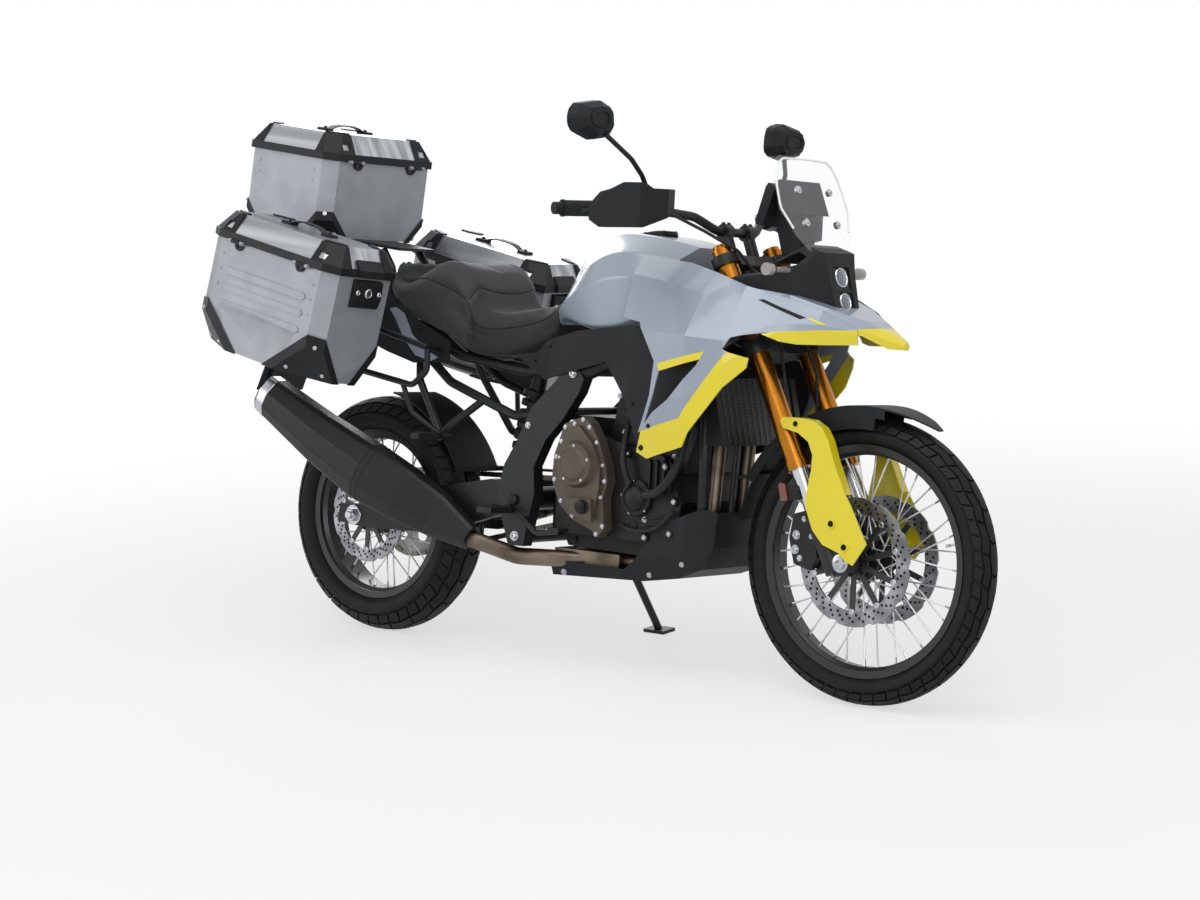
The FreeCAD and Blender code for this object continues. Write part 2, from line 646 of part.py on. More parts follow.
def engine_covers():
    """Clutch cover on the right, generator cover on the left: stepped castings."""
    outline = [(788, 633), (817, 645), (840, 628), (868, 589), (893, 529), (902, 486), (890, 441),
               (898, 367), (877, 345),
               (858, 362), (794, 384), (750, 420), (723, 477), (727, 541), (743, 584), (756, 622)]
    wall = side_plate(outline, -ENGINE_HALF - 34, -ENGINE_HALF)
    shoulder = [(745, 540), (770, 600), (810, 622), (856, 580), (884, 520), (884, 470), (868, 400),
                (800, 410), (744, 480)]
    step = side_plate(shoulder, -ENGINE_HALF - 44, -ENGINE_HALF - 34)
    hub_x, hub_z, hub_y = 812.0, 524.0, -ENGINE_HALF - 44
    dome = rod((hub_x, hub_y, hub_z), (hub_x, hub_y - 18, hub_z), 60.0, 52.0)
    brow = rod((hub_x, hub_y - 18, hub_z), (hub_x, hub_y - 24, hub_z), 42.0, 36.0)
    foot = side_plate([(778, 440), (868, 440), (872, 385), (806, 398)], hub_y - 10, hub_y)
    right = join([wall, step, dome, brow, foot])
    left = []
    for x, z, r, depth in ((950, 470, 92, 30), (990, 420, 56, 24), (905, 525, 54, 24)):
        left.append(rod((x, ENGINE_HALF, z), (x, ENGINE_HALF + depth, z), r))
    left.append(rod((950, ENGINE_HALF + 30, 470), (950, ENGINE_HALF + 48, 470), 66.0, 54.0))
    return Part.makeCompound([right, join(left)])


@cache
def radiator():
    core = side_plate([(1206, 600), (1240, 600), (1200, 762), (1178, 762)], -150, 150)
    tanks = side_plate([(1200, 600), (1246, 600), (1206, 762), (1172, 762)], 150, 172)
    bars = [rod((1206, y, 604), (1196, y, 428), 6.0) for y in (-60, 60)]
    bars.append(rod((1201, -60, 520), (1201, 60, 520), 5.0))
    return join([core, tanks, other_side(tanks)] + bars).cut(main_frame())


@cache
def exhaust_pipe():
    pipes = []
    for side, low_y in ((1, 10), (-1, -62)):
        y = side * 62
        pipes.append(tube([(1106, y, 646), (1156, y, 612), (1140, y, 372), (1090, low_y, 286),
                           (860, low_y - 20, 280)],
                          18.0, 60.0))
    link = tube([(900, -50, 280), (740, -112, 274), (600, -156, 270), (440, -181, 306)], 22.0, 90.0)
    box = side_plate([(900, 258), (900, 300), (690, 300), (690, 254)], -116, 30)
    return join(pipes + [link, box]).cut(engine()).cut(silencer())


@cache
def silencer():
    """Upswept silencer: rounded sections square to its middle line."""
    stations = [
        # middle, height and width
        ((462, -182, 304), 66, 58), ((350, -186, 352), 122, 72), ((235, -198, 400), 152, 96),
        ((110, -208, 450), 162, 112),
        ((-60, -216, 530), 138, 106), ((-262, -222, 636), 106, 96),
    ]
    along = vec(-614, -30, 318).normalize()
    across = along.cross(vec(0, 0, 1)).normalize()
    up = across.cross(along)
    wires = []
    for middle, tall, wide in stations:
        m = FreeCAD.Vector(*middle)
        corners = []
        for a, b in ((0.5, 0.18), (0.2, 0.5), (-0.3, 0.5), (-0.5, 0.15), (-0.5, -0.2), (-0.3, -0.5),
                     (0.2, -0.5),
                     (0.5, -0.22)):
            corners.append(m + across * (wide * a) + up * (tall * b))
        wires.append(rounded_section(corners, 18.0))
    return Part.makeLoft(wires, True, True)


def skid_plate():
    outer = [(1202, 432), (1196, 345), (1176, 292), (1100, 262), (989, 244), (690, 230), (690, 270),
             (930, 268), (975, 300),
             (1005, 345), (1040, 385), (1168, 440)]
    inner = [(1197, 455), (1191, 347), (1172, 296), (1099, 267), (988, 249), (680, 235), (680, 310),
             (900, 470)]
    half = ENGINE_HALF + 8
    plan = [(1206, half - 38), (1130, half), (680, half - 24)]
    front = [(half, 480), (half, 325), (half - 40, 222)]
    plan_in = [(1230, half - 52), (1130, half - 5), (670, half - 29)]
    front_in = [(half - 5, 490), (half - 5, 326), (half - 46, 226)]
    tray = side_plate(outer, -160, 160).common(plan_box(plan)).common(front_plate(mirrored_outline(front),
            600, 1300))
    room = side_plate(inner, -160, 160).common(plan_box(plan_in)).common(
        front_plate(mirrored_outline(front_in), 600, 1300))
    return tray.cut(room).cut(main_frame()).cut(engine()).cut(exhaust_pipe()).cut(radiator())


def plan_box(half):
    return plan_plate(half + [(x, -y) for x, y in reversed(half)], 100, 1200)


def side_stand():
    """Leg from its pivot to a foot that lies flat on the ground once leaned."""
    px, py, pz = STAND_PIVOT
    foot_y = STAND_FOOT_Y
    ground = foot_y * math.tan(math.radians(LEAN))
    foot = block(STAND_FOOT_X - 34, STAND_FOOT_X + 34, -26, 26, 0, 9)
    foot.rotate(vec(0, 0, 0), vec(1, 0, 0), LEAN)
    foot.translate(vec(0, foot_y, ground))
    knee = (STAND_FOOT_X, foot_y - 2, ground + 6)
    leg = rod((px, py, pz), knee, 11.0, 10.0)
    eye = rod(tuple(vec(*STAND_PIVOT) - vec(*STAND_AXIS) * 12),
              tuple(vec(*STAND_PIVOT) + vec(*STAND_AXIS) * 12), 20.0)
    bolt = rod(tuple(vec(*STAND_PIVOT) - vec(*STAND_AXIS) * 20),
               tuple(vec(*STAND_PIVOT) + vec(*STAND_AXIS) * 20),
               STAND_BOLT_R + PIN_FIT)
    return join([leg, eye, foot]).cut(bolt)


STAND_BOLT_R = 6.0
STAND_PIVOT = (640.0, 208.0, 300.0)
STAND_FOOT_X = 682.0
STAND_FOOT_Y = 352.0


def stand_axis():
    """Square to the leg both as it stands and as it lies folded back."""
    foot_z = STAND_FOOT_Y * math.tan(math.radians(LEAN))
    leg = vec(STAND_FOOT_X, STAND_FOOT_Y, foot_z) - vec(*STAND_PIVOT)
    return tuple(leg.cross(vec(-1, 0, 0.08)).normalize())


STAND_AXIS = stand_axis()


def stand_bracket():
    inner = vec(*STAND_PIVOT) - vec(*STAND_AXIS) * 12.5
    along = vec(*STAND_AXIS)
    return [rod((612, 150, 318), tuple(inner - along * 14), 12.0),
            rod(tuple(inner - along * 16), tuple(inner), 16.0),
            rod(tuple(inner - along), tuple(inner + along * 28), STAND_BOLT_R)]


def chain():
    return chain_band(0.0)


def chain_band(grow):
    """Closed band round both sprockets; the run is straight between them."""
    front = DRIVE_SPROCKET
    outer_r, inner_r = SPROCKET_R + 13 + grow, SPROCKET_R + 1 - grow
    drive = DRIVE_SPROCKET_R - grow
    cx, cz = REAR_AXLE
    fx, fz = front
    gap = math.hypot(fx - cx, fz - cz)
    slope = math.atan2(fz - cz, fx - cx)

    def loop(big, small):
        tilt = math.asin((big - small) / gap)
        up, down = slope + math.pi / 2 - tilt, slope - math.pi / 2 + tilt

        def at(centre, r, a):
            return vec(centre[0] + r * math.cos(a), CHAIN_Y - CHAIN_W / 2, centre[1] + r * math.sin(a))
        a, b = at(REAR_AXLE, big, up), at(front, small, up)
        c, d = at(front, small, down), at(REAR_AXLE, big, down)
        edges = [Part.LineSegment(a, b).toShape(), Part.Arc(b, at(front, small, slope), c).toShape(),
                 Part.LineSegment(c, d).toShape(), Part.Arc(d, at(REAR_AXLE, big, slope + math.pi),
                                                            a).toShape()]
        return Part.Face(Part.Wire(edges))
    band = loop(outer_r, drive + 12 + 2 * grow).cut(loop(inner_r, drive))
    band.translate(vec(0, -grow, 0))
    return band.extrude(vec(0, CHAIN_W + 2 * grow, 0))


def chain_guard():
    """Cover over the chain's upper run, and the hugger over the tyre behind the shock."""
    ax, az = REAR_AXLE
    knee = ax + 300
    cover = side_plate([(ax + 60, az + 134), (ax + 60, az + 140), (knee, 473), (560, 480), (560, 474),
                        (knee, 467)],
                       84, 114)
    hugger = arc_band(REAR_AXLE, REAR_TYRE_R + 20, REAR_TYRE_R + 24, 84, 24, 78)
    strut = side_plate([(knee, 418), (knee + 52, 412), (knee + 38, 470), (knee - 4, 470)], 84, 89)
    far_strut = side_plate([(knee, 418), (knee + 52, 412), (knee + 30, 466), (knee + 2, 458)], -84, -79)
    lug = block(knee, knee + 40, 86, 110, 420, 430)
    far_lug = block(knee, knee + 40, -110, -79, 418, 426)
    return join([cover, hugger, strut, far_strut, lug, far_lug]).cut(swingarm()).cut(chain_band(6.0))


def rear_caliper():
    ax, az = REAR_AXLE
    outline = [(ax + 60, 420), (ax + 130, 372), (ax + 176, 396), (ax + 150, 452), (ax + 90, 470)]
    body = side_plate(outline, -REAR_DISC_Y - 24, -REAR_DISC_Y + 20)
    slot = rod((ax, -REAR_DISC_Y - PAD_GAP, az), (ax, -REAR_DISC_Y + PAD_GAP, az), REAR_DISC_R + 6)
    return body.cut(slot)


def footpegs():
    rider = join([rod((596, 180, 392), (590, 262, 392), 11), block(566, 614, 204, 286, 385, 399)])
    pillion = join([rod((326, 170, 560), (326, 250, 560), 9), block(312, 340, 192, 268, 553, 567)])
    whole = Part.makeCompound([rider, other_side(rider), pillion, other_side(pillion)])
    return whole.cut(main_frame()).cut(rear_frame()).cut(case_racks())


def pedals():
    brake = tube([(640, -192, 372), (700, -206, 340), (780, -214, 352)], 7.0, 30.0)
    brake_pad = block(764, 800, -240, -200, 352, 362)
    shift = tube([(640, 192, 372), (740, 212, 352), (790, 214, 372)], 6.0, 30.0)
    shift_peg = rod((790, 206, 374), (790, 246, 374), 8.0)
    return Part.makeCompound([join([brake, brake_pad]), join([shift, shift_peg])]).cut(main_frame())


@cache
def rear_frame():
    upper = tube([(760, 134, 752), (560, 112, 744), (330, 108, 772), (100, 88, 860), (-60, 78, 886)], 13.0,
                 80.0)
    lower = tube([(664, 152, 640), (540, 122, 626), (300, 108, 700), (60, 84, 866)], 12.0, 80.0)
    strut = tube([(430, 114, 664), (340, 150, 586), (310, 148, 556), (210, 130, 700), (176, 98, 800)], 10.0,
                 50.0)
    cross = [rod((x, -w, z), (x, w, z), 11) for x, w, z in ((560, 112, 744), (330, 108, 770), (60, 84, 866))]
    halves = [upper, lower, strut]
    halves.append(rod((326, 140, 560), (326, 172, 560), 13))
    return join(halves + [other_side(h) for h in halves] + cross).cut(main_frame())


@cache
def case_racks():
    """Tube loop behind each side case, held to the rear frame by stays."""
    loop = tube([(330, 238, 790), (60, 226, 850), (-150, 214, 892), (-190, 212, 850), (-170, 212, 770),
                 (60, 226, 722),
                 (280, 236, 690), (332, 238, 730), (330, 238, 786)], 8.0, 30.0)
    stays = [rod((300, 108, 780), (300, 236, 797), 7), rod((40, 84, 872), (40, 225, 854), 7),
             rod((-60, 78, 886), (-110, 216, 884), 7),
             tube([(240, 232, 698), (262, 214, 620), (326, 168, 562)], 7.0, 30.0)]
    return pair(join([loop] + stays)).cut(rear_frame()).cut(rear_carrier())


@cache
def rear_carrier():
    """Plate under the top case on four posts from the rear frame."""
    plate = side_plate([(60, 1040), (60, 1048), (-330, 1092.4), (-330, 1084.4)], -95, 95)
    posts = [tube([(40, 84, 868), (40, 74, 990), (0, 70, 1040)], 11.0, 30.0),
             tube([(-50, 79, 884), (-130, 76, 930), (-230, 74, 1070)], 10.0, 30.0)]
    plan = plan_plate([(60, -70), (60, 70), (-60, 95), (-330, 95), (-330, -95), (-60, -95)], 1000, 1120)
    return join([plate.common(plan)] + posts + [other_side(p) for p in posts]).cut(rear_frame())


# ---------------------------------------------------------------- bodywork
@cache
def fuel_tank():
    # x, then width and height of: top edge, shoulder, crease, low edge
    rows = [
        (662, 70, 938, 104, 918, 112, 900, 104, 868),
        (752, 62, 1086, 132, 1004, 172, 945, 160, 876),
        (850, 78, 1108, 166, 1048, 196, 985, 186, 862),
        (985, 84, 1096, 166, 1056, 206, 1000, 194, 888),
        (1060, 56, 1078, 136, 1046, 176, 1000, 164, 918),
    ]
    stations = []
    for x, tw, tz, sw, sz, cw, cz, lw, lz in rows:
        stations.append((x, [(tw, tz), (sw, sz), (cw, cz), (lw, lz)]))
    return body_loft(stations, 16.0)


SHROUD = [
    # x, then y and height of: top edge, bend, crease, waist, low edge
    (985, 184, 1052, 222, 1006, 256, 886, 252, 720, 246, 545),
    (1110, 156, 1040, 210, 986, 284, 870, 278, 710, 256, 552),
    (1200, 166, 1018, 224, 956, 290, 864, 282, 716, 250, 570),
    (1300, 184, 990, 214, 942, 268, 858, 268, 800, 262, 700),
    (1395, 160, 968, 172, 940, 190, 905, 190, 884, 184, 856),
    (1480, 120, 939, 128, 928, 138, 906, 136, 892, 128, 858),
    (1556, 70, 900, 73, 898, 77, 895, 76, 884, 70, 862),
]


def shroud_skin(inset, thickness):
    stations = []
    for x, y1, z1, y2, z2, y3, z3, y4, z4, y5, z5 in SHROUD:
        outer = [(y1, z1), (y2, z2), (y3, z3), (y4, z4), (y5, z5)]
        stations.append((x, [(y - inset, z) for y, z in outer]))
    return skin_loft(stations, thickness)


PANEL_OUTLINE = [
    (980, 1100), (1552, 1100), (1552, 897), (1480, 893), (1388, 884), (1330, 872), (1312, 866), (1298, 838),
    (1308, 831),
    (1181, 666), (1059, 626),
    (1072, 646), (1098, 672), (1151, 709), (1232, 795), (1252, 830), (1110, 792), (1045, 890), (980, 900),
]
BLADE_OUTLINE = [(1308, 831), (1346, 819), (1342, 795), (1204, 634), (1183, 596), (1078, 560), (1044, 574),
                 (1059, 626),
                 (1181, 666)]
WING_OUTLINE = [(1368, 878), (1388, 884), (1480, 893), (1552, 897), (1552, 850), (1480, 850), (1400, 862)]
STRIP_OUTLINE = [(1252, 830), (1110, 792), (1120, 775), (1264, 817)]
SPINE_OUTLINE = [(1106, 800), (1116, 800), (1122, 776), (1104, 716), (1074, 652), (1067, 634), (1059, 626),
                 (1050, 622),
                 (1092, 716)]


def on_shroud(outline):
    return shroud_skin(0, PANEL_T).common(side_plate(outline, 50, 320))


@cache
def shroud_panels():
    return pair(join([on_shroud(PANEL_OUTLINE), on_shroud(SPINE_OUTLINE)]))


def shroud_edges():
    """Bright lower blade of each shroud, and the strip over its opening."""
    return pair(Part.makeCompound([on_shroud(BLADE_OUTLINE), on_shroud(STRIP_OUTLINE)])).cut(shroud_panels())


def tank_side_covers():
    """Dark covers under the tank, and the dark panel inside each shroud's opening."""
    rows = [(487, 136, 126), (600, 162, 154), (700, 188, 184), (880, 214, 206), (1000, 240, 228),
            (1240, 252, 246)]
    stations = []
    for x, y_top, y_low in rows:
        stations.append((x, [(y_top, 960), (y_low, 540)]))
    skin = skin_loft(stations, PANEL_T)
    outline = [(487, 768), (571, 778), (683, 728), (800, 760), (907, 786), (980, 700), (1040, 560),
               (1060, 560),
               (1160, 600), (1200, 700), (1220, 830), (1050, 880), (985, 880), (800, 858), (690, 830),
               (640, 792), (560, 782)]
    return pair(skin.common(side_plate(outline, 80, 300))).cut(main_frame())


@cache
def beak_form():
    stations = [
        (1300, [(150, 985), (172, 960), (150, 905)]),
        (1395, [(130, 972), (158, 948), (140, 893)]),
        (1480, [(96, 945), (118, 926), (110, 880)]),
        (1556, [(44, 918), (74, 898), (66, 858)]),
        (1643, [(5, 874), (12, 864), (8, 855)]),
    ]
    wires = []
    for x, half in stations:
        ring = [vec(x, w, z) for w, z in mirrored_outline(half)]
        wires.append(Part.makePolygon(ring + [ring[0]]))
    form = Part.makeLoft(wires, True, True)
    under = side_plate([(1290, 860), (1290, 940), (1400, 925), (1560, 884), (1620, 850)], -200, 200)
    return form.cut(under).cut(fork_room())


def fork_room():
    """Cylinder round the steering axis that the fork tubes turn in."""
    reach = math.hypot(FORK_SPREAD, FORK_OFFSET) + FORK_TUBE_R + STEER_GAP
    return rod(steer(fork_along(700), 0), steer(fork_along(1100), 0), reach)


BEAK_SPLIT = [(1546, 900), (1556, 900), (1600, 906), (1660, 906), (1660, 800), (1546, 800)]


def beak():
    return beak_form().cut(beak_tip()).cut(cowl_form()).cut(shroud_panels())


@cache
def beak_tip():
    """Bright tip of the beak, and the wing under each panel that runs back from it."""
    tip = beak_form().common(side_plate(BEAK_SPLIT, -200, 200))
    wing = on_shroud(WING_OUTLINE)
    return join([tip, wing, other_side(wing)]).cut(cowl_form()).cut(shroud_panels())


@cache
def cowl_form():
    side = [(1232, 990), (1240, 1008), (1330, 1062), (1385, 1096), (1436, 1078), (1450, 1018), (1470, 945),
            (1522, 930), (1562, 908), (1540, 900), (1400, 905), (1310, 955)]
    plan = [(1232, 172), (1330, 140), (1400, 96), (1446, 58), (1480, 46), (1562, 30)]
    front = [(56, 1110), (96, 1046), (172, 1004), (172, 980), (70, 900)]
    form = side_plate(side, -180, 180)
    form = form.common(plan_plate(plan + [(x, -y) for x, y in reversed(plan)], 850, 1150))
    return form.common(front_plate(mirrored_outline(front), 1200, 1600))


@cache
def headlight_cowl():
    room = side_plate([(1220, 900), (1220, 1120), (1318, 1048), (1372, 1078), (1414, 1060), (1432, 965),
                       (1400, 930),
                       (1300, 940)], -160, 160)
    half = [(1210, 162), (1330, 129), (1396, 86), (1432, 54)]
    whole = cowl_form().cut(room.common(plan_box(half)))
    return whole.cut(headlight_seats(0.0)).cut(windscreen()).cut(instrument_panel())


def headlight_seats(gap):
    """Room for the two lamps, one above the other, in the cowl's raked face."""
    seats = []
    for low, high in ((993, 1045), (938, 984)):
        outline = [(1418, low), (1500, low), (1500, high), (1418, high)]
        seats.append(side_plate(outline, gap - LAMP_HALF, LAMP_HALF - gap))
    return join(seats)


def headlights():
    side = [(1420, 930), (1470, 930), (1466, 945), (1446, 1018), (1434, 1062), (1420, 1062)]
    return side_plate(side, -60, 60).common(headlight_seats(0.3))


@cache
def windscreen():
    top, low = (1326, 1306), (1412, 1078)
    bow = 15.0
    half = 160.0
    def sheet(shift):
        a = vec(low[0] - bow + shift, -half, low[1])
        m = vec(low[0] + shift, 0, low[1])
        b = vec(low[0] - bow + shift, half, low[1])
        return a, m, b
    a, m, b = sheet(0)
    c, n, d = sheet(-4.0)
    edges = [Part.Arc(a, m, b).toShape(), Part.LineSegment(b, d).toShape(), Part.Arc(d, n, c).toShape(),
             Part.LineSegment(c, a).toShape()]
    slab = Part.Face(Part.Wire(edges)).extrude(vec(top[0] - low[0], 0, top[1] - low[1]))
    outline = [(70, 1072), (112, 1112), (148, 1176), (142, 1236), (118, 1298), (96, 1309), (0, 1314)]
    right = [(-w, z) for w, z in reversed(outline[:-1])]
    return slab.common(front_plate(outline + right, 1200, 1500))


@cache
def instrument_panel():
    """Screen housing on a bracket that also carries the windscreen."""
    dial = side_plate([(1230, 1142), (1252, 1136), (1286, 1232), (1262, 1242)], -66, 66)
    mast = side_plate([(1290, 1066), (1340, 1080), (1352, 1150), (1306, 1240), (1290, 1236), (1262, 1160)],
                      -30, 30)
    wing = side_plate([(1318, 1180), (1345, 1168), (1312, 1250), (1296, 1246)], -84, 84)
    return join([dial, mast, wing]).cut(windscreen())


def indicators():
    lamps = []
    for x, y, z, reach in ((1368, 112, 1032, 92), (-120, 118, 802, 60)):
        stalk = rod((x, y, z), (x, y + reach * 0.6, z), 7)
        flare = rod((x, y + reach * 0.6, z), (x, y + reach * 0.8, z), 8, 15)
        glass = rod((x, y + reach * 0.8, z), (x, y + reach, z), 15)
        lamp = join([stalk, flare, glass])
        lamps += [lamp, other_side(lamp)]
    return Part.makeCompound(lamps).cut(headlight_cowl())


@cache
def seat():
    # x, then width and height of: top edge, side bend, skirt
    rows = [
        (655, 74, 928, 98, 905, 100, 838),
        (600, 92, 902, 122, 872, 128, 800),
        (500, 120, 884, 148, 852, 146, 782),
        (420, 128, 892, 154, 858, 150, 782),
        (370, 122, 968, 152, 925, 150, 800),
        (240, 118, 1000, 146, 968, 142, 850),
        (92, 92, 1020, 116, 996, 112, 935),
    ]
    stations = [(x, [(tw, tz), (bw, bz), (sw, sz)]) for x, tw, tz, bw, bz, sw, sz in rows]
    form = body_loft(stations, 22.0)
    return form.cut(fuel_tank())


@cache
def tail_covers():
    """Side panels under the pillion seat, and the tail piece that closes them."""
    # x, then y and height of: top edge, low edge
    rows = [(330, 152, 806, 152, 752), (200, 148, 862, 148, 745), (90, 128, 926, 136, 770),
            (-60, 104, 940, 110, 812)]
    side = skin_loft([(x, [(y1, z1), (y2, z2)]) for x, y1, z1, y2, z2 in rows], PANEL_T)
    side = side.cut(case_racks()).cut(rear_frame())
    wires = []
    for x, half in ((-61, [(100, 938), (106, 816)]), (-134, [(76, 926), (82, 840)])):
        ring = [vec(x, w, z) for w, z in mirrored_outline(half)]
        wires.append(Part.makePolygon(ring + [ring[0]]))
    tail = Part.makeLoft(wires, True, True).cut(rear_carrier()).cut(rear_frame()).cut(case_racks())
    return Part.makeCompound([side, other_side(side), tail])


def rear_fender():
    """Boom under the tail that carries the rear lamp and the blank plate."""
    boom = side_plate([(60, 790), (-130, 836), (-330, 772), (-412, 712), (-446, 640), (-438, 636),
                       (-404, 700),
                       (-322, 756), (-128, 812), (60, 770)], -62, 62)
    plate = front_plate([(-90, -4), (90, -4), (90, 106), (-90, 106)], -4, 0)
    plate.rotate(vec(0, 0, 0), vec(0, 1, 0), 24)
    plate.translate(vec(-444, 0, 636))
    lamp = block(-154, -134, -50, 50, 846, 876)
    lamp_foot = block(-150, -136, -40, 40, 826, 848)
    return join([boom, plate, lamp, lamp_foot]).cut(tail_covers()).cut(rear_frame())


# ---------------------------------------------------------------- luggage
SIDE_SHELL = {
    "length": SIDE_CASE_LENGTH, "width": SIDE_CASE_DEPTH, "height": SIDE_CASE_HEIGHT,
    "wall": SIDE_CASE_DEPTH / 2,
    "chamfer": (45.0, 26.0), "corner": (145.0, 78.0, 115.0), "piece": (88.0, 60.0), "knuckle_at": 128.0,
}
TOP_SHELL = {
    "length": TOP_CASE_LENGTH, "width": TOP_CASE_WIDTH, "height": TOP_CASE_HEIGHT,
    "wall": TOP_CASE_LENGTH / 2,
    "chamfer": (34.0, 33.0), "corner": (70.0, 75.0, 80.0), "piece": (62.0, 88.0), "knuckle_at": 120.0,
}
CASES = [
    # middle of the seam, then its turns about X, Y and Z; side is +1 left, -1 right, 0 on top
    {"name": "right_case", "side": -1, "at": (-7.0, -248.5 - SIDE_CASE_DEPTH / 2, 1010.0),
     "turns": (-2.4, 11.4, -2.0), "shell": SIDE_SHELL},
    {"name": "left_case", "side": 1, "at": (50.0, 238.5 + SIDE_CASE_DEPTH / 2, 996.0),
     "turns": (2.4, 11.4, 2.0), "shell": SIDE_SHELL},
    {"name": "top_case", "side": 0, "at": (-240.0, 0.0, 1291.0), "turns": (0.0, 6.5, 0.0),
     "shell": TOP_SHELL},
]
TURN_AXES = [(1, 0, 0), (0, 1, 0), (0, 0, 1)]


def set_case(shape, case):
    """From a case's own frame, origin at the middle of its seam, to the machine's."""
    shape = shape.copy()
    for axis, angle in zip(TURN_AXES, case["turns"]):
        shape.rotate(vec(0, 0, 0), vec(*axis), angle)
    shape.translate(vec(*case["at"]))
    return shape


def case_plan(shell, inset):
    """Plan of the walls: a rectangle with its four corners cut."""
    a = shell["length"] / 2 - inset
    b = shell["width"] / 2 - inset
    cx, cy = shell["chamfer"]
    half = [(a, b - cy), (a - cx, b), (-a + cx, b), (-a, b - cy)]
    return half + [(x, -y) for x, y in reversed(half)]


def four_corners(shape):
    """A shape at the +X +Y corner, and its three mirror images."""
    ends = [shape, shape.mirror(vec(0, 0, 0), vec(1, 0, 0))]
    return ends + [other_side(end) for end in ends]


def corner_block(shell, inset, reach):
    """Everything beyond the plane that cuts the bottom corner at +X +Y."""
    legs = shell["corner"]
    steep = math.sqrt(sum(1 / leg ** 2 for leg in legs))
    scale = reach + inset * (steep - sum(1 / leg for leg in legs))
    ax, ay, az = [leg * scale for leg in legs]
    tip = vec(shell["length"] / 2 - inset, shell["width"] / 2 - inset, inset - shell["height"])
    base = [tip - vec(ax, 0, 0), tip - vec(0, ay, 0), tip + vec(0, 0, az)]
    middle = (base[0] + base[1] + base[2]) * (1 / 3)
    wide = [tuple(middle + (point - middle) * 1.7) for point in base]
    return outline_face(wide).extrude(vec(1 / ax, 1 / ay, -1 / az).normalize() * 150)


def case_form(shell, inset, top):
    """Box with cut plan corners and its four bottom corners cut off askew."""
    form = plan_plate(case_plan(shell, inset), inset - shell["height"], top)
    return form.cut(four_corners(corner_block(shell, inset, 1.0)))


def on_hinge_side(shape, case):
    """Turn a shape built at the +Y wall to the wall that carries the hinge."""
    if case["side"] == 0:
        shape.rotate(vec(0, 0, 0), vec(0, 0, 1), -90)
        return shape
    return shape if case["side"] > 0 else other_side(shape)


def knuckle_places(shell):
    return (-shell["knuckle_at"], shell["knuckle_at"])


def hinge_leaf(shell):
    """The case's half of the hinge: outer knuckles and the pins through them."""
    line = shell["wall"] + HINGE_OUT
    pieces = []
    for u in knuckle_places(shell):
        pieces.append(rod((u - KNUCKLE_END, line, 0), (u + KNUCKLE_END, line, 0), HINGE_PIN_R))
        for end in (1, -1):
            near, far = u + end * (KNUCKLE_HALF + 1.0), u + end * KNUCKLE_END
            pieces.append(rod((near, line, 0), (far, line, 0), KNUCKLE_R))
            pieces.append(block(min(near, far), max(near, far), shell["wall"] - 1, line, -KNUCKLE_R, -0.5))
    return join_pieces(pieces)


def join_pieces(pieces):
    return pieces[0].fuse(pieces[1:])


def lid_knuckles(shell):
    """The lid's knuckles, and the room that it leaves for the case's."""
    line = shell["wall"] + HINGE_OUT
    barrels, room, bores = [], [], []
    for u in knuckle_places(shell):
        low, high = u - KNUCKLE_HALF, u + KNUCKLE_HALF
        barrels.append(rod((low, line, 0), (high, line, 0), KNUCKLE_R))
        barrels.append(block(low, high, shell["wall"] + LID_LIP - 1, line, CASE_GAP, KNUCKLE_R))
        bores.append(rod((low - 1, line, 0), (high + 1, line, 0), HINGE_PIN_R + PIN_FIT))
        room.append(rod((u - KNUCKLE_END - 1, line, 0), (low, line, 0), KNUCKLE_R + 1))
        room.append(rod((high, line, 0), (u + KNUCKLE_END + 1, line, 0), KNUCKLE_R + 1))
    return join_pieces(barrels), join_pieces(room + bores)


def case_shell(case):
    shell = case["shell"]
    walls = case_form(shell, 0.0, 0.0).cut(case_form(shell, CASE_WALL, 1.0))
    pieces = [walls, on_hinge_side(hinge_leaf(shell), case)]
    if case["side"]:
        for low in (-176.0, -132.0, -88.0):
            swage = [(-150, low), (-160, low + 9), (-150, low + 18), (150, low + 18), (160, low + 9),
                     (150, low)]
            pieces.append(on_hinge_side(side_plate(swage, shell["wall"], shell["wall"] + 2.5), case))
    return set_case(join(pieces), case)


def lid_crown(shell, grow):
    """Upper part of a lid, sloping in on all sides to its flat top."""
    wires = []
    for inset, z in ((-grow, LID_FRAME_HEIGHT), (LID_SLOPE - grow, LID_HEIGHT + grow)):
        ring = [vec(x, y, z) for x, y in case_plan(shell, inset)]
        wires.append(Part.makePolygon(ring + [ring[0]]))
    return Part.makeLoft(wires, True, True)


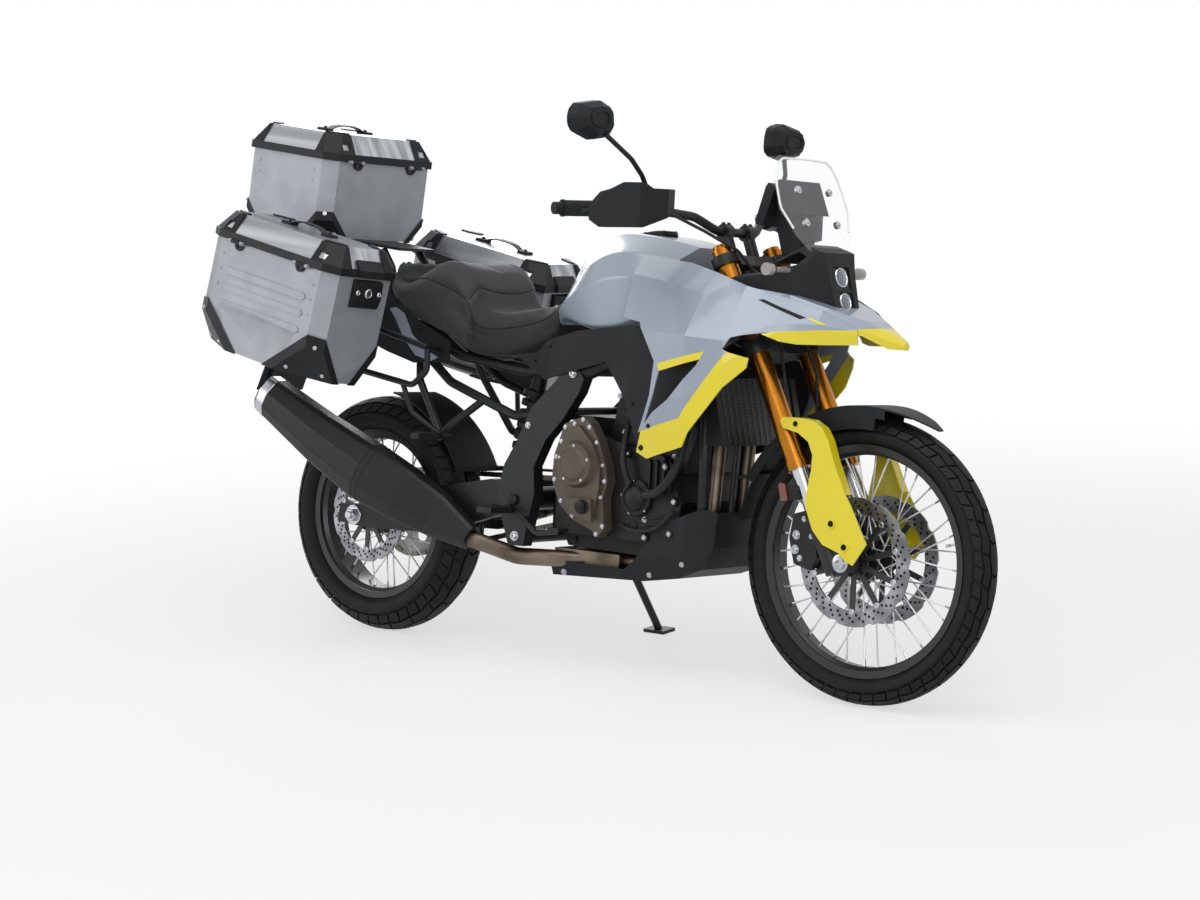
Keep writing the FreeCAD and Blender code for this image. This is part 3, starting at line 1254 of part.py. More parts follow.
def case_lid(case):
    """Black frame of a lid with its four corner pieces and its half of the hinge."""
    shell = case["shell"]
    frame = plan_plate(case_plan(shell, -LID_LIP), CASE_GAP, LID_FRAME_HEIGHT)
    frame = frame.cut(plan_plate(case_plan(shell, CASE_WALL), -1.0, LID_FRAME_HEIGHT + 1))
    a, b = shell["length"] / 2, shell["width"] / 2
    px, py = shell["piece"]
    piece = lid_crown(shell, CORNER_PIECE_T).cut(lid_crown(shell, 0.0))
    piece = piece.common(block(a - px, a + 30, b - py, b + 30, 0, LID_HEIGHT))
    low, high = LID_FRAME_HEIGHT + 9, LID_FRAME_HEIGHT + 27
    along_x = block(a - px + 16, a - 44, b - 26, b + 30, low, high) if px > py else None
    grip = along_x or block(a - 26, a + 30, b - py + 16, b - 44, low, high)
    piece = piece.cut(grip)
    pieces = [frame] + four_corners(piece)
    if case["side"]:
        hasp = side_plate([(a + LID_LIP - 1, 1), (a + LID_LIP + 9, 3), (a + LID_LIP + 7, 20), (a - 8, 44),
                           (a - 12, 40)],
                          -50, 36)
        pieces.append(on_hinge_side(hasp.cut(lid_crown(shell, 0.0)), case))
    knuckles, room = lid_knuckles(shell)
    pieces.append(on_hinge_side(knuckles, case))
    return set_case(join(pieces).cut(on_hinge_side(room, case)), case)


def case_lid_panel(case):
    """Aluminium top of a lid, showing between the corner pieces."""
    shell = case["shell"]
    return set_case(lid_crown(shell, 0.0).cut(lid_crown(shell, -CASE_WALL)), case)


def lid_hinge(case):
    """Point and direction of a lid's hinge: the outer edge, or the top case's front edge."""
    line = case["shell"]["wall"] + HINGE_OUT
    side = case["side"]
    point, along = (vec(0, side * line, 0), vec(-side, 0, 0)) if side else (vec(line, 0, 0), vec(0, 1, 0))
    for axis, angle in zip(TURN_AXES, case["turns"]):
        turn = FreeCAD.Rotation(vec(*axis), angle)
        point, along = turn.multVec(point), turn.multVec(along)
    return point + vec(*case["at"]), along


def case_corners():
    """Black caps over the cut bottom corners, and the side cases' latches."""
    caps = []
    for case in CASES:
        shell = case["shell"]
        skin = case_form(shell, -CORNER_CAP_T, 0.0).cut(case_form(shell, 0.0, 1.0))
        cap = skin.common(corner_block(shell, -CORNER_CAP_T, 1.3))
        pieces = four_corners(cap)
        if case["side"]:
            a = shell["length"] / 2
            latch = side_plate([(a, -5), (a + 13, -8), (a + 16, -52), (a + 9, -76), (a, -80)], -56, 42)
            pieces.append(on_hinge_side(latch, case))
        caps += [set_case(piece, case) for piece in pieces]
    return Part.makeCompound(caps)


# ---------------------------------------------------------------- whole machine
def nodes():
    parts = {}
    parts.update(front_wheel())
    parts.update(rear_wheel())
    makers = [fork_clamps, fork_tubes, fork_legs, handlebar, hand_controls, hand_guards, mirrors,
              front_fender,
              fork_guards, front_calipers, brake_hoses, swingarm, rear_shock, engine, engine_covers,
              radiator, exhaust_pipe,
              silencer, skid_plate, side_stand, chain, chain_guard, rear_caliper, footpegs, pedals,
              rear_frame,
              case_racks, rear_carrier, fuel_tank, shroud_panels, shroud_edges, tank_side_covers, beak,
              beak_tip,
              headlight_cowl, headlights, windscreen, instrument_panel, indicators, seat, tail_covers,
              rear_fender, case_corners]
    for maker in makers:
        parts[maker.__name__] = maker()
    parts["main_frame"] = join([main_frame()] + stand_bracket())
    for case in CASES:
        parts[case["name"]] = case_shell(case)
        parts[case["name"] + "_lid"] = case_lid(case)
        parts[case["name"] + "_lid_panel"] = case_lid_panel(case)
    return parts


def lean(shape):
    shape = shape.copy()
    shape.rotate(vec(0, 0, 0), vec(1, 0, 0), -LEAN)
    return shape


def park(parts):
    """Lean every piece, then move the whole so that its box stands on the origin."""
    leaned = {name: lean(shape) for name, shape in parts.items()}
    box = None
    for shape in leaned.values():
        one = shape.optimalBoundingBox(False, False)
        if box is None:
            box = one
        else:
            box.add(one)
    shift = vec(-(box.XMin + box.XMax) / 2, -(box.YMin + box.YMax) / 2, 0)
    for shape in leaned.values():
        shape.translate(shift)
    return leaned, shift


def main():
    parked, shift = park(nodes())
    os.makedirs("parts", exist_ok=True)
    for name, shape in parked.items():
        shape.exportStep("parts/" + name + ".step")
    print(len(parked), "nodes; moved by", shift)
    print("upright machine: steering turns about", STEER_AXIS_POINT, STEER_AXIS)
    for case in CASES:
        print(case["name"], "lid turns about", *lid_hinge(case))


if __name__ == "__main__":
    main()
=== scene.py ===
import json
import math

import bmesh
import bpy
from bpy.props import FloatProperty, FloatVectorProperty, PointerProperty
from mathutils import Matrix, Vector
from mathutils.bvhtree import BVHTree
from mathutils.kdtree import KDTree


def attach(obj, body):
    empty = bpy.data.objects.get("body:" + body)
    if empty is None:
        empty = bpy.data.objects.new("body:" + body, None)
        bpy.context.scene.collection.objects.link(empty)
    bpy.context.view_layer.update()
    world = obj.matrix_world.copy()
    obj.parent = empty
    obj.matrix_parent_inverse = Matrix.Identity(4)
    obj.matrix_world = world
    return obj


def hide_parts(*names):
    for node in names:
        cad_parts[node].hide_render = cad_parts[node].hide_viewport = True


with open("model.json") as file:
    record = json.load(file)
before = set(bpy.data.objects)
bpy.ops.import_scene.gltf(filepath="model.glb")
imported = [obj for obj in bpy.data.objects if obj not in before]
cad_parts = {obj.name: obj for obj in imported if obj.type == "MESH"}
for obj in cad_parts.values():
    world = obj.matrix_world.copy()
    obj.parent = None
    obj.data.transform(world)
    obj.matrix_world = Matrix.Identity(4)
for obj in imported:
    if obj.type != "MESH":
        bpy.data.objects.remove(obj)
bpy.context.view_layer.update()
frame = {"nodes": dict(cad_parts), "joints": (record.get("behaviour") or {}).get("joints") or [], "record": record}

bl_info = {
    "name": "Adventure motorcycle finish",
    "version": (1, 1, 0),
    "blender": (4, 5, 0),
    "location": "3D View > Sidebar > Motorcycle",
    "description": "Gives the packed adventure motorcycle its finishes, soft parts and small fittings",
    "category": "Object",
}

RECORD = frame["record"]
SLOT_OF = {row["node"]: row["material_slot"] for row in RECORD["subparts"]}
BODY_OF = {node: body for body, held in RECORD["behaviour"]["bodies"].items() for node in held}
JOINTS = {joint["name"]: joint for joint in frame["joints"]}

# Fittings are built in millimetres on the upright machine: X forward, Y to the rider's
# left, Z up, ground at Z = 0 and the rear axle over X = 0. PARK leans and places them.
LEAN = math.radians(8.0)
REAR = Vector(JOINTS["rear_wheel"]["pos_m"])
PARK = (Matrix.Translation((REAR.x, REAR.y - REAR.z * math.tan(LEAN), 0.0))
        @ Matrix.Rotation(-LEAN, 4, "X") @ Matrix.Scale(0.001, 4))
UNPARK = PARK.inverted()
REAR_AXLE = UNPARK @ REAR
FRONT_AXLE = UNPARK @ Vector(JOINTS["front_wheel"]["pos_m"])
ACROSS = Vector((0.0, 1.0, 0.0))
UP = Vector((0.0, 0.0, 1.0))
# Where the steering axis meets the ground, and how far up it, in metres, the fork's boots end.
STEERING_FOOT = Vector((1684.0, 0.0, 0.0))
BOOT_TOP = 0.512
# How far the engine's side faces stand from the middle plane, and a distance that is outside
# all bodywork, from which lines feel for a surface.
ENGINE_FACE = 148.0
OUTSIDE = 420.0
# Outlines drawn as (x, z) stand on the machine's middle plane, with height along Y.
SIDE = Matrix(((1, 0, 0, 0), (0, 0, 1, 0), (0, 1, 0, 0), (0, 0, 0, 1)))


# ------------------------------------------------------------------ shader maths
class Value:
    """A number inside a shader: arithmetic on it adds Math nodes."""

    def __init__(self, finish, socket):
        self.finish = finish
        self.socket = socket

    def maths(self, operation, first, second=0.0):
        return self.finish.node("ShaderNodeMath", {"operation": operation}, {0: first, 1: second})

    def __add__(self, other):
        return self.maths("ADD", self, other)

    __radd__ = __add__

    def __sub__(self, other):
        return self.maths("SUBTRACT", self, other)

    def __rsub__(self, other):
        return self.maths("SUBTRACT", other, self)

    def __mul__(self, other):
        return self.maths("MULTIPLY", self, other)

    __rmul__ = __mul__

    def __gt__(self, other):
        return self.maths("GREATER_THAN", self, other)

    def __lt__(self, other):
        return self.maths("LESS_THAN", self, other)

    def wave(self):
        return self.maths("SINE", self)

    def step(self, low, high):
        """0 below low, 1 above high and smooth between them."""
        settings = {"interpolation_type": "SMOOTHSTEP"}
        values = {"Value": self, "From Min": low, "From Max": high}
        return self.finish.node("ShaderNodeMapRange", settings, values)


class Finish:
    """A material on its way: a Principled shader and the nodes that feed it."""

    def __init__(self, name, constants):
        self.material = bpy.data.materials.new(name)
        self.material.use_nodes = True
        self.tree = self.material.node_tree
        self.shader = self.tree.nodes["Principled BSDF"]
        for socket, value in constants.items():
            self.shader.inputs[socket].default_value = value
        base = self.shader.inputs["Base Color"].default_value
        self.material.diffuse_color = tuple(base)

    def node(self, kind, settings, sockets, output=0):
        """Add a node, set it up, feed its sockets and give one of its outputs."""
        made = self.tree.nodes.new(kind)
        for name, value in settings.items():
            if name == "stops":
                for element, (place, colour) in zip(made.color_ramp.elements, value):
                    element.position = place
                    element.color = colour
            else:
                setattr(made, name, value)
        for name, value in sockets.items():
            self.feed(made, name, value)
        outputs = [s for s in made.outputs if s.enabled]
        chosen = outputs[output] if isinstance(output, int) else made.outputs[output]
        return Value(self, chosen)

    def feed(self, made, name, value):
        """Put a number, colour or link into a node's socket, by name or by place."""
        if isinstance(name, int):
            socket = made.inputs[name]
        else:
            socket = next(s for s in made.inputs if s.name == name and s.enabled)
        if isinstance(value, Value):
            self.tree.links.new(value.socket, socket)
        else:
            socket.default_value = value

    def place(self):
        return self.node("ShaderNodeTexCoord", {}, {}, "Object")

    def noise(self, scale, detail=3.0, stretch=(1.0, 1.0, 1.0), roughness=0.5):
        """Noise over the piece; stretch scales it along each axis."""
        where = self.node("ShaderNodeVectorMath", {"operation": "MULTIPLY"}, {0: self.place(), 1: stretch})
        values = {"Vector": where, "Scale": scale, "Detail": detail, "Roughness": roughness}
        return self.node("ShaderNodeTexNoise", {"noise_dimensions": "3D"}, values, "Fac")

    def cells(self, scale, feature="F1"):
        return self.node("ShaderNodeTexVoronoi", {"feature": feature},
                         {"Vector": self.place(), "Scale": scale},
                         "Distance")

    def blend(self, share, first, second):
        """Colour that goes from first to second with share."""
        return self.node("ShaderNodeMix", {"data_type": "RGBA"}, {"Factor": share, "A": first, "B": second})

    def bump(self, height, strength, depth):
        """Raise the surface by height, at most depth metres."""
        values = {"Height": height, "Strength": strength, "Distance": depth}
        self.feed(self.shader, "Normal", self.node("ShaderNodeBump", {}, values, "Normal"))

    def set(self, name, value):
        self.feed(self.shader, name, value)

    def across(self, axis):
        """Place along X, Y or Z."""
        return self.node("ShaderNodeSeparateXYZ", {}, {"Vector": self.place()}, axis)

    def axis_distance(self, point, direction):
        """Distance of each surface point from a line, such as a wheel's axle."""
        rel = self.node("ShaderNodeVectorMath", {"operation": "SUBTRACT"}, {0: self.place(), 1: tuple(point)})
        along = self.node("ShaderNodeVectorMath", {"operation": "CROSS_PRODUCT"},
                          {0: rel, 1: tuple(direction)})
        return self.node("ShaderNodeVectorMath", {"operation": "LENGTH"}, {0: along}, "Value")


def rgb(red, green, blue):
    """Linear colour from the 0-255 values that a screen shows."""
    def linear(c):
        c = c / 255.0
        return c / 12.92 if c <= 0.04045 else ((c + 0.055) / 1.055) ** 2.4
    return (linear(red), linear(green), linear(blue), 1.0)


# ------------------------------------------------------------------ finishes
def shade(colour, factor, lift=0.0):
    """The same colour, darker or lighter."""
    return tuple(min(1.0, c * factor + lift) for c in colour[:3]) + (1.0,)


def plastic(name, colour, roughness=0.55, grain=900.0, depth=0.00012):
    """Moulded plastic with a fine spark-eroded grain."""
    finish = Finish(name, {"Roughness": roughness, "Specular IOR Level": 0.18})
    patches = finish.noise(9.0, 4.0)
    finish.set("Base Color", finish.blend(patches.step(0.3, 0.8), colour, shade(colour, 1.3, 0.003)))
    finish.set("Roughness", roughness - 0.06 + finish.noise(30.0, 3.0) * 0.14)
    finish.bump(finish.noise(grain, 2.0), 0.35, depth)
    return finish.material


def paint(name, colour, flake=0.0, roughness=0.42, coat=0.6):
    """Sprayed colour under clear lacquer, with an optional metallic flake."""
    finish = Finish(name, {"Coat Weight": coat, "Coat Roughness": 0.12, "Metallic": flake})
    tone = finish.blend(finish.noise(4.0, 2.0).step(0.3, 0.7), shade(colour, 0.93), colour)
    specks = finish.noise(2600.0, 1.0).step(0.56, 0.72) * (0.45 * flake)
    finish.set("Base Color", finish.blend(specks, tone, shade(colour, 1.25, 0.03)))
    finish.set("Roughness", roughness - 0.02 + finish.noise(60.0, 2.0) * 0.08)
    finish.bump(finish.noise(220.0, 1.0), 0.05, 0.0002)
    return finish.material


def metal(name, colour, roughness=0.3, brush=(1.0, 1.0, 1.0), scale=240.0, depth=0.00003, metallic=1.0):
    """Bare or plated metal with fine marks from its making."""
    finish = Finish(name, {"Metallic": metallic})
    marks = finish.noise(scale, 4.0, brush)
    stain = finish.noise(14.0, 3.0)
    finish.set("Base Color", finish.blend(stain.step(0.25, 0.75), shade(colour, 0.84), colour))
    finish.set("Roughness", roughness - 0.07 + marks * 0.16)
    finish.bump(marks, 0.4, depth)
    return finish.material


def cast_metal(name, colour, roughness=0.45, metallic=0.75, deep=0.62):
    """Sand-cast and painted engine metal."""
    finish = Finish(name, {"Metallic": metallic, "Specular IOR Level": 0.35})
    patches = finish.noise(18.0, 4.0)
    finish.set("Base Color", finish.blend(patches.step(0.2, 0.7), shade(colour, deep), colour))
    finish.set("Roughness", roughness - 0.08 + finish.noise(70.0, 3.0) * 0.2)
    finish.bump(finish.noise(1100.0, 3.0) * 0.6 + finish.noise(160.0, 2.0) * 0.5, 0.5, 0.0003)
    return finish.material


def rubber(name, colour, roughness=0.75):
    """Tyre and grip rubber, dusty where it is used."""
    finish = Finish(name, {"Specular IOR Level": 0.2})
    dust = finish.noise(22.0, 5.0).step(0.35, 0.85)
    finish.set("Base Color", finish.blend(dust, colour, shade(colour, 1.6, 0.005)))
    finish.set("Roughness", roughness - 0.12 + dust * 0.2)
    finish.bump(finish.noise(800.0, 3.0), 0.4, 0.00025)
    return finish.material


def vinyl(name, colour, pale, change):
    """Seat cover with a leather grain, a paler stuff behind the change along X."""
    finish = Finish(name, {"Specular IOR Level": 0.35, "Sheen Weight": 0.15, "Sheen Roughness": 0.4})
    behind = 1.0 - finish.across("X").step(change - 0.004, change + 0.004)
    worn = finish.noise(7.0, 4.0).step(0.3, 0.8)
    dark = finish.blend(worn, shade(colour, 0.85), shade(colour, 1.2, 0.002))
    light = finish.blend(worn, shade(pale, 0.88), shade(pale, 1.12, 0.002))
    finish.set("Base Color", finish.blend(behind, dark, light))
    finish.set("Roughness", 0.56 + finish.noise(40.0, 3.0) * 0.16)
    grain = finish.cells(560.0, "DISTANCE_TO_EDGE").step(0.0, 0.25)
    finish.bump(grain * 0.7 + finish.noise(240.0, 3.0) * 0.5, 0.55, 0.0003)
    return finish.material


def spoked_wheel_metal(name, settings, axle, direction, spoke_span):
    """Black enamelled rim and hub with stainless spokes between two radii."""
    finish = Finish(name, {"Specular IOR Level": 0.5})
    radius = finish.axis_distance(axle, direction)
    low, high = spoke_span
    spoke = (radius > low) * (radius < high)
    marks = finish.noise(300.0, 3.0)
    finish.set("Base Color", finish.blend(spoke, tuple(settings.wheel_black) + (1.0,),
                                          (0.62, 0.62, 0.63, 1.0)))
    finish.set("Metallic", spoke)
    finish.set("Roughness", 0.26 + marks * 0.16)
    finish.bump(marks, 0.15, 0.00005)
    return finish.material


def disc_metal(name, axle, direction, carrier_r):
    """Brake disc: a ring ground round and round, on a black carrier."""
    finish = Finish(name, {})
    radius = finish.axis_distance(axle, direction)
    ring = radius > carrier_r
    grind = (radius * 9000.0).wave() * 0.5 + 0.5
    steel = finish.blend(finish.noise(26.0, 4.0).step(0.3, 0.8), rgb(112, 114, 118), rgb(166, 168, 172))
    finish.set("Base Color", finish.blend(ring, rgb(34, 35, 37), steel))
    finish.set("Metallic", ring)
    finish.set("Roughness", 0.3 + finish.noise(90.0, 3.0) * 0.14)
    finish.bump(grind * ring + finish.noise(700.0, 2.0) * 0.4, 0.3, 0.00004)
    return finish.material


def lid_sheet_metal(name, colour):
    """Bright rolled sheet: broad bands along the rolling, partly rolling streaks and partly painted reflections,
    and narrow lines that only roughen and emboss it.
    """
    finish = Finish(name, {"Metallic": 0.85})
    streaks_and_reflections = finish.noise(9.0, 2.0, (0.02, 2.6, 0.6))
    lines = finish.noise(160.0, 2.0, (0.02, 3.0, 0.6))
    # Dark to bright along the broad bands: partly rolling streaks, partly painted reflections.
    tone = finish.blend(streaks_and_reflections.step(0.35, 0.68), shade(colour, 0.55), shade(colour, 1.15, 0.02))
    finish.set("Base Color", tone)
    finish.set("Roughness", 0.2 + lines * 0.22)
    finish.bump(lines, 0.4, 0.00005)
    return finish.material


def fork_leg_metal(name, foot, axis, boot):
    """Hard-chromed tube above a black cast boot; boot is its height along the fork."""
    finish = Finish(name, {"Specular IOR Level": 0.4})
    rel = finish.node("ShaderNodeVectorMath", {"operation": "SUBTRACT"}, {0: finish.place(), 1: tuple(foot)})
    along = finish.node("ShaderNodeVectorMath", {"operation": "DOT_PRODUCT"}, {0: rel, 1: tuple(axis)},
                        "Value")
    bright = along.step(boot - 0.0005, boot + 0.0005)
    marks = finish.noise(200.0, 3.0)
    finish.set("Base Color", finish.blend(bright, rgb(24, 25, 27), rgb(196, 198, 202)))
    finish.set("Metallic", bright * 0.9 + 0.1)
    finish.set("Roughness", 0.42 - bright * 0.24 + marks * 0.1)
    finish.bump(marks, 0.2, 0.00005)
    return finish.material


def clear_plastic(name, colour, alpha, ripple=0.03):
    """Clear or tinted moulding that lets the parts behind it show."""
    finish = Finish(name, {"Base Color": colour, "Alpha": alpha, "Roughness": 0.03, "Coat Weight": 1.0,
                           "Coat Roughness": 0.02})
    finish.bump(finish.noise(6.0, 1.0), ripple, 0.001)
    return finish.material


def lamp_glass(name, colour, glow):
    """Moulded lens with fine fluting in its relief and as painted shade in its colour, and a little light behind
    it.
    """
    finish = Finish(name, {"Coat Weight": 1.0, "Coat Roughness": 0.03, "Roughness": 0.12,
                           "Emission Strength": glow})
    flutes_and_shading = (finish.across("Z") * 1400.0).wave() * 0.5 + 0.5
    # The fluting darkens the colour in bands: painted shade on top of its bump.
    tone = finish.blend(flutes_and_shading, shade(colour, 0.72), colour)
    finish.set("Base Color", tone)
    finish.set("Emission Color", tone)
    finish.bump(flutes_and_shading, 0.4, 0.0004)
    return finish.material


def exhaust_metal(name):
    """Stainless pipe gone straw and brown with heat."""
    finish = Finish(name, {"Metallic": 1.0})
    heat = finish.noise(9.0, 4.0).step(0.25, 0.75)
    tint = finish.blend(heat, rgb(128, 116, 102), rgb(66, 58, 50))
    finish.set("Base Color", tint)
    finish.set("Roughness", 0.26 + finish.noise(90.0, 4.0) * 0.25)
    finish.bump(finish.noise(380.0, 3.0), 0.3, 0.0001)
    return finish.material


# ------------------------------------------------------------------ settings
class StageSettings(bpy.types.PropertyGroup):
    camera_location: FloatVectorProperty(
        name="Camera location", description="Where the camera stands", subtype="XYZ", unit="LENGTH",
        default=(4.4397, -5.4938, 1.7467))
    camera_forward: FloatVectorProperty(
        name="Camera direction", description="Way the camera looks", subtype="DIRECTION",
        default=(-0.62395, 0.76303, -0.16874))
    camera_roll: FloatProperty(
        name="Camera roll", description="Turn of the camera about its view", subtype="ANGLE",
        default=math.radians(-2.302))
    lens: FloatProperty(
        name="Focal length", description="Focal length on a 36 mm wide sensor, in millimetres", default=82.88)
    floor_radius: FloatProperty(
        name="Floor radius", description="Radius of the round pale floor", unit="LENGTH", default=14.0)
    key_power: FloatProperty(
        name="Key power", description="Power of the large overhead softbox", unit="POWER", default=116.0)
    side_power: FloatProperty(
        name="Side power", description="Power of each standing softbox", unit="POWER", default=70.0)


class FinishSettings(bpy.types.PropertyGroup):
    body_grey: FloatVectorProperty(
        name="Body grey", description="Metallic grey of tank and beak", subtype="COLOR", size=3,
        default=rgb(142, 152, 165)[:3], min=0.0, max=1.0)
    accent_yellow: FloatVectorProperty(
        name="Accent yellow", description="Yellow of blades and guards", subtype="COLOR", size=3,
        default=rgb(222, 204, 8)[:3], min=0.0, max=1.0)
    wheel_black: FloatVectorProperty(
        name="Wheel black", description="Enamel of the rims and hubs", subtype="COLOR", size=3,
        default=rgb(22, 23, 24)[:3], min=0.0, max=1.0)
    fork_gold: FloatVectorProperty(
        name="Fork gold", description="Anodised fork tubes", subtype="COLOR", size=3,
        default=rgb(180, 116, 40)[:3], min=0.0, max=1.0)
    cover_bronze: FloatVectorProperty(
        name="Cover bronze", description="Painted engine covers", subtype="COLOR", size=3,
        default=rgb(83, 75, 65)[:3], min=0.0, max=1.0)
    case_silver: FloatVectorProperty(
        name="Case silver", description="Powder coat of the luggage cases", subtype="COLOR", size=3,
        default=rgb(152, 156, 162)[:3], min=0.0, max=1.0)


class TreadSettings(bpy.types.PropertyGroup):
    groove: FloatProperty(
        name="Groove depth", description="Depth of the tread's grooves in millimetres", default=6.0)
    chevron: FloatProperty(
        name="Chevron", description="How far the blocks sweep back for each millimetre out", default=0.55)
    zigzag: FloatProperty(
        name="Zigzag", description="Side swing of the grooves that run round, in millimetres", default=2.2)


class SeatSettings(bpy.types.PropertyGroup):
    start_inside: FloatProperty(
        name="Start inside", description="How far inside the seat's form the foam starts", unit="LENGTH",
        default=0.004)
    swell: FloatProperty(
        name="Swell", description="Most that the foam may swell", unit="LENGTH", default=0.006)
    seam_depth: FloatProperty(
        name="Seam depth", description="How far the seams draw in, in millimetres", default=2.4)
    stitch_pitch: FloatProperty(
        name="Stitch pitch", description="Distance between stitches in millimetres", default=6.5)


def full(colour):
    return tuple(colour) + (1.0,)


def wheel_line(joint):
    """A wheel's middle and the direction of its leaned axle."""
    return Vector(JOINTS[joint]["pos_m"]), Vector(JOINTS[joint]["axis"])


FINISHES = {}


def make_finishes(s):
    """One material for each material slot of the record, and those of the fittings."""
    middle, axle = wheel_line("front_wheel")
    rear_middle, rear_axle = wheel_line("rear_wheel")
    silver = full(s.case_silver)
    return {
        "tyre": rubber("Tyre rubber", rgb(15, 16, 17), 0.68),
        "front_wheel": spoked_wheel_metal("Front wheel", s, middle, axle, (0.047, 0.250)),
        "rear_wheel": spoked_wheel_metal("Rear wheel", s, rear_middle, rear_axle, (0.057, 0.201)),
        "front_disc": disc_metal("Front disc steel", middle, axle, 0.116),
        "rear_disc": disc_metal("Rear disc steel", rear_middle, rear_axle, 0.094),
        "disc_steel": metal("Sprocket steel", rgb(150, 150, 152), 0.3, scale=420.0),
        "chain_steel": metal("Chain steel", rgb(138, 132, 120), 0.34),
        "black_metal": cast_metal("Black enamelled alloy", rgb(26, 27, 28), 0.44, 0.2),
        "frame_black": cast_metal("Frame powder coat", rgb(20, 22, 24), 0.42, 0.1, 0.8),
        "gold_anodised": metal("Gold anodised alloy", full(s.fork_gold), 0.24, (1.0, 1.0, 0.1), 300.0,
                               0.00001),
        "bright_steel": metal("Bright steel", rgb(196, 198, 202), 0.22),
        "fork_leg": fork_leg_metal("Fork leg", PARK @ STEERING_FOOT, Vector(JOINTS["steering"]["axis"]),
                                   BOOT_TOP),
        "black_plastic": plastic("Charcoal moulded plastic", rgb(23, 25, 27)),
        "yellow_paint": paint("Yellow lacquer", full(s.accent_yellow)),
        "grey_paint": paint("Grey metallic lacquer", full(s.body_grey), 0.25),
        "engine_black": cast_metal("Black engine alloy", rgb(18, 19, 20), 0.46, 0.25),
        "engine_bronze": cast_metal("Bronze engine cover", full(s.cover_bronze), 0.42, 0.3, 0.8),
        "exhaust_steel": exhaust_metal("Heat-stained steel"),
        "silencer_black": cast_metal("Silencer enamel", rgb(17, 18, 19), 0.42, 0.15, 0.8),
        "lamp_lens": plastic("Dark lamp housing", rgb(30, 31, 33), 0.25, 400.0, 0.00005),
        "clear_screen": clear_plastic("Screen", (0.86, 0.9, 0.93, 1.0), 0.07),
        "amber_lens": clear_plastic("Smoked indicator", rgb(150, 146, 140), 0.9),
        "hose_rubber": rubber("Hose rubber", rgb(30, 31, 32), 0.55),
        "seat_cover": plastic("Seat base", rgb(24, 25, 26)),
        "case_plastic": plastic("Case moulding", rgb(22, 24, 26), 0.44),
        "case_aluminium": metal("Case powder coat", silver, 0.48, scale=700.0, metallic=0.35),
        "lid_sheet": lid_sheet_metal("Rolled lid sheet", rgb(184, 188, 193)),
        "seat_vinyl": vinyl("Seat vinyl", rgb(20, 21, 23), rgb(42, 44, 47), world_x(392.0)),
        "thread": rubber("Seat thread", rgb(78, 80, 82), 0.8),
        "grip_rubber": rubber("Grip rubber", rgb(28, 29, 30), 0.7),
        "bolt_steel": metal("Zinc-plated bolts", rgb(188, 190, 194), 0.26),
        "dark_bolt": cast_metal("Blackened bolts", rgb(34, 35, 36), 0.36, 0.6),
        # Near-black on the disc drillings and lock slots: painted shade where there are openings.
        "painted_hole_shade": plastic("Hole shadow", rgb(14, 14, 15), 0.8),
        "mirror_glass": metal("Mirror glass", rgb(225, 228, 232), 0.1, depth=0.0),
        "dash_glass": plastic("Dash glass", rgb(16, 18, 21), 0.16, 200.0, 0.00002),
        "lamp_bright": lamp_glass("Headlamp lens", rgb(96, 104, 114), 0.02),
        "lamp_ring": metal("Lamp reflector", rgb(210, 214, 220), 0.14),
        "tail_red": lamp_glass("Tail lamp lens", rgb(170, 14, 12), 0.15),
        "amber_bright": lamp_glass("Amber reflector", rgb(112, 44, 12), 0.0),
        # Near-white on the clear screen's edge: a painted highlight of the polished edge.
        "screen_edge_highlight": plastic("Polished screen edge", rgb(232, 236, 240), 0.2),
        "fin_metal": metal("Radiator fins", rgb(92, 94, 97), 0.4),
    }


def world_x(x):
    """World X of a place on the upright machine."""
    return (PARK @ Vector((x, 0.0, 0.0))).x


# ------------------------------------------------------------------ mesh tools
def turns(count):
    """Angles that share a full turn out evenly."""
    return [2.0 * math.pi * i / count for i in range(count)]


def facing(point, direction):
    """Axes at a point with Z along a direction."""
    return Matrix.Translation(point) @ Vector(direction).to_track_quat("Z", "Y").to_matrix().to_4x4()


def curve_through(points, step, closed=False):
    """Points a step apart on a smooth curve through the given ones."""
    points = [Vector(p) for p in points]
    count = len(points)
    made = []
    for i in range(count if closed else count - 1):
        if closed:
            a, b, c, d = (points[(i + k) % count] for k in (-1, 0, 1, 2))
        else:
            a, b, c, d = (points[min(max(i + k, 0), count - 1)] for k in (-1, 0, 1, 2))
        cuts = max(1, round((c - b).length / step))
        for k in range(cuts):
            t = k / cuts
            made.append(0.5 * (2 * b + (c - a) * t + (2 * a - 5 * b + 4 * c - d) * t * t
                               + (3 * b - a - 3 * c + d) * t ** 3))
    return made if closed else made + [points[-1]]


def run_along(points, step):
    """Points about a step apart on straight runs."""
    made = []
    for a, b in zip(points, points[1:]):
        a, b = Vector(a), Vector(b)
        cuts = max(1, round((b - a).length / step))
        made += [a.lerp(b, k / cuts) for k in range(cuts)]
    return made + [Vector(points[-1])]


def arc_through(a, b, c, cuts):
    """Points on the arc from a over b to c, in a plane."""
    (ax, ay), (bx, by), (cx, cy) = a, b, c
    d = 2 * (ax * (by - cy) + bx * (cy - ay) + cx * (ay - by))
    sa, sb, sc = ax * ax + ay * ay, bx * bx + by * by, cx * cx + cy * cy
    mx = (sa * (by - cy) + sb * (cy - ay) + sc * (ay - by)) / d
    my = (sa * (cx - bx) + sb * (ax - cx) + sc * (bx - ax)) / d
    r = math.hypot(ax - mx, ay - my)
    start, over, end = (math.atan2(y - my, x - mx) for x, y in (a, b, c))
    sweep = (end - start) % (2 * math.pi)
    if (over - start) % (2 * math.pi) > sweep:
        sweep -= 2 * math.pi
    return [(mx + r * math.cos(start + sweep * k / cuts), my + r * math.sin(start + sweep * k / cuts))
            for k in range(cuts + 1)]


SKINS = {}


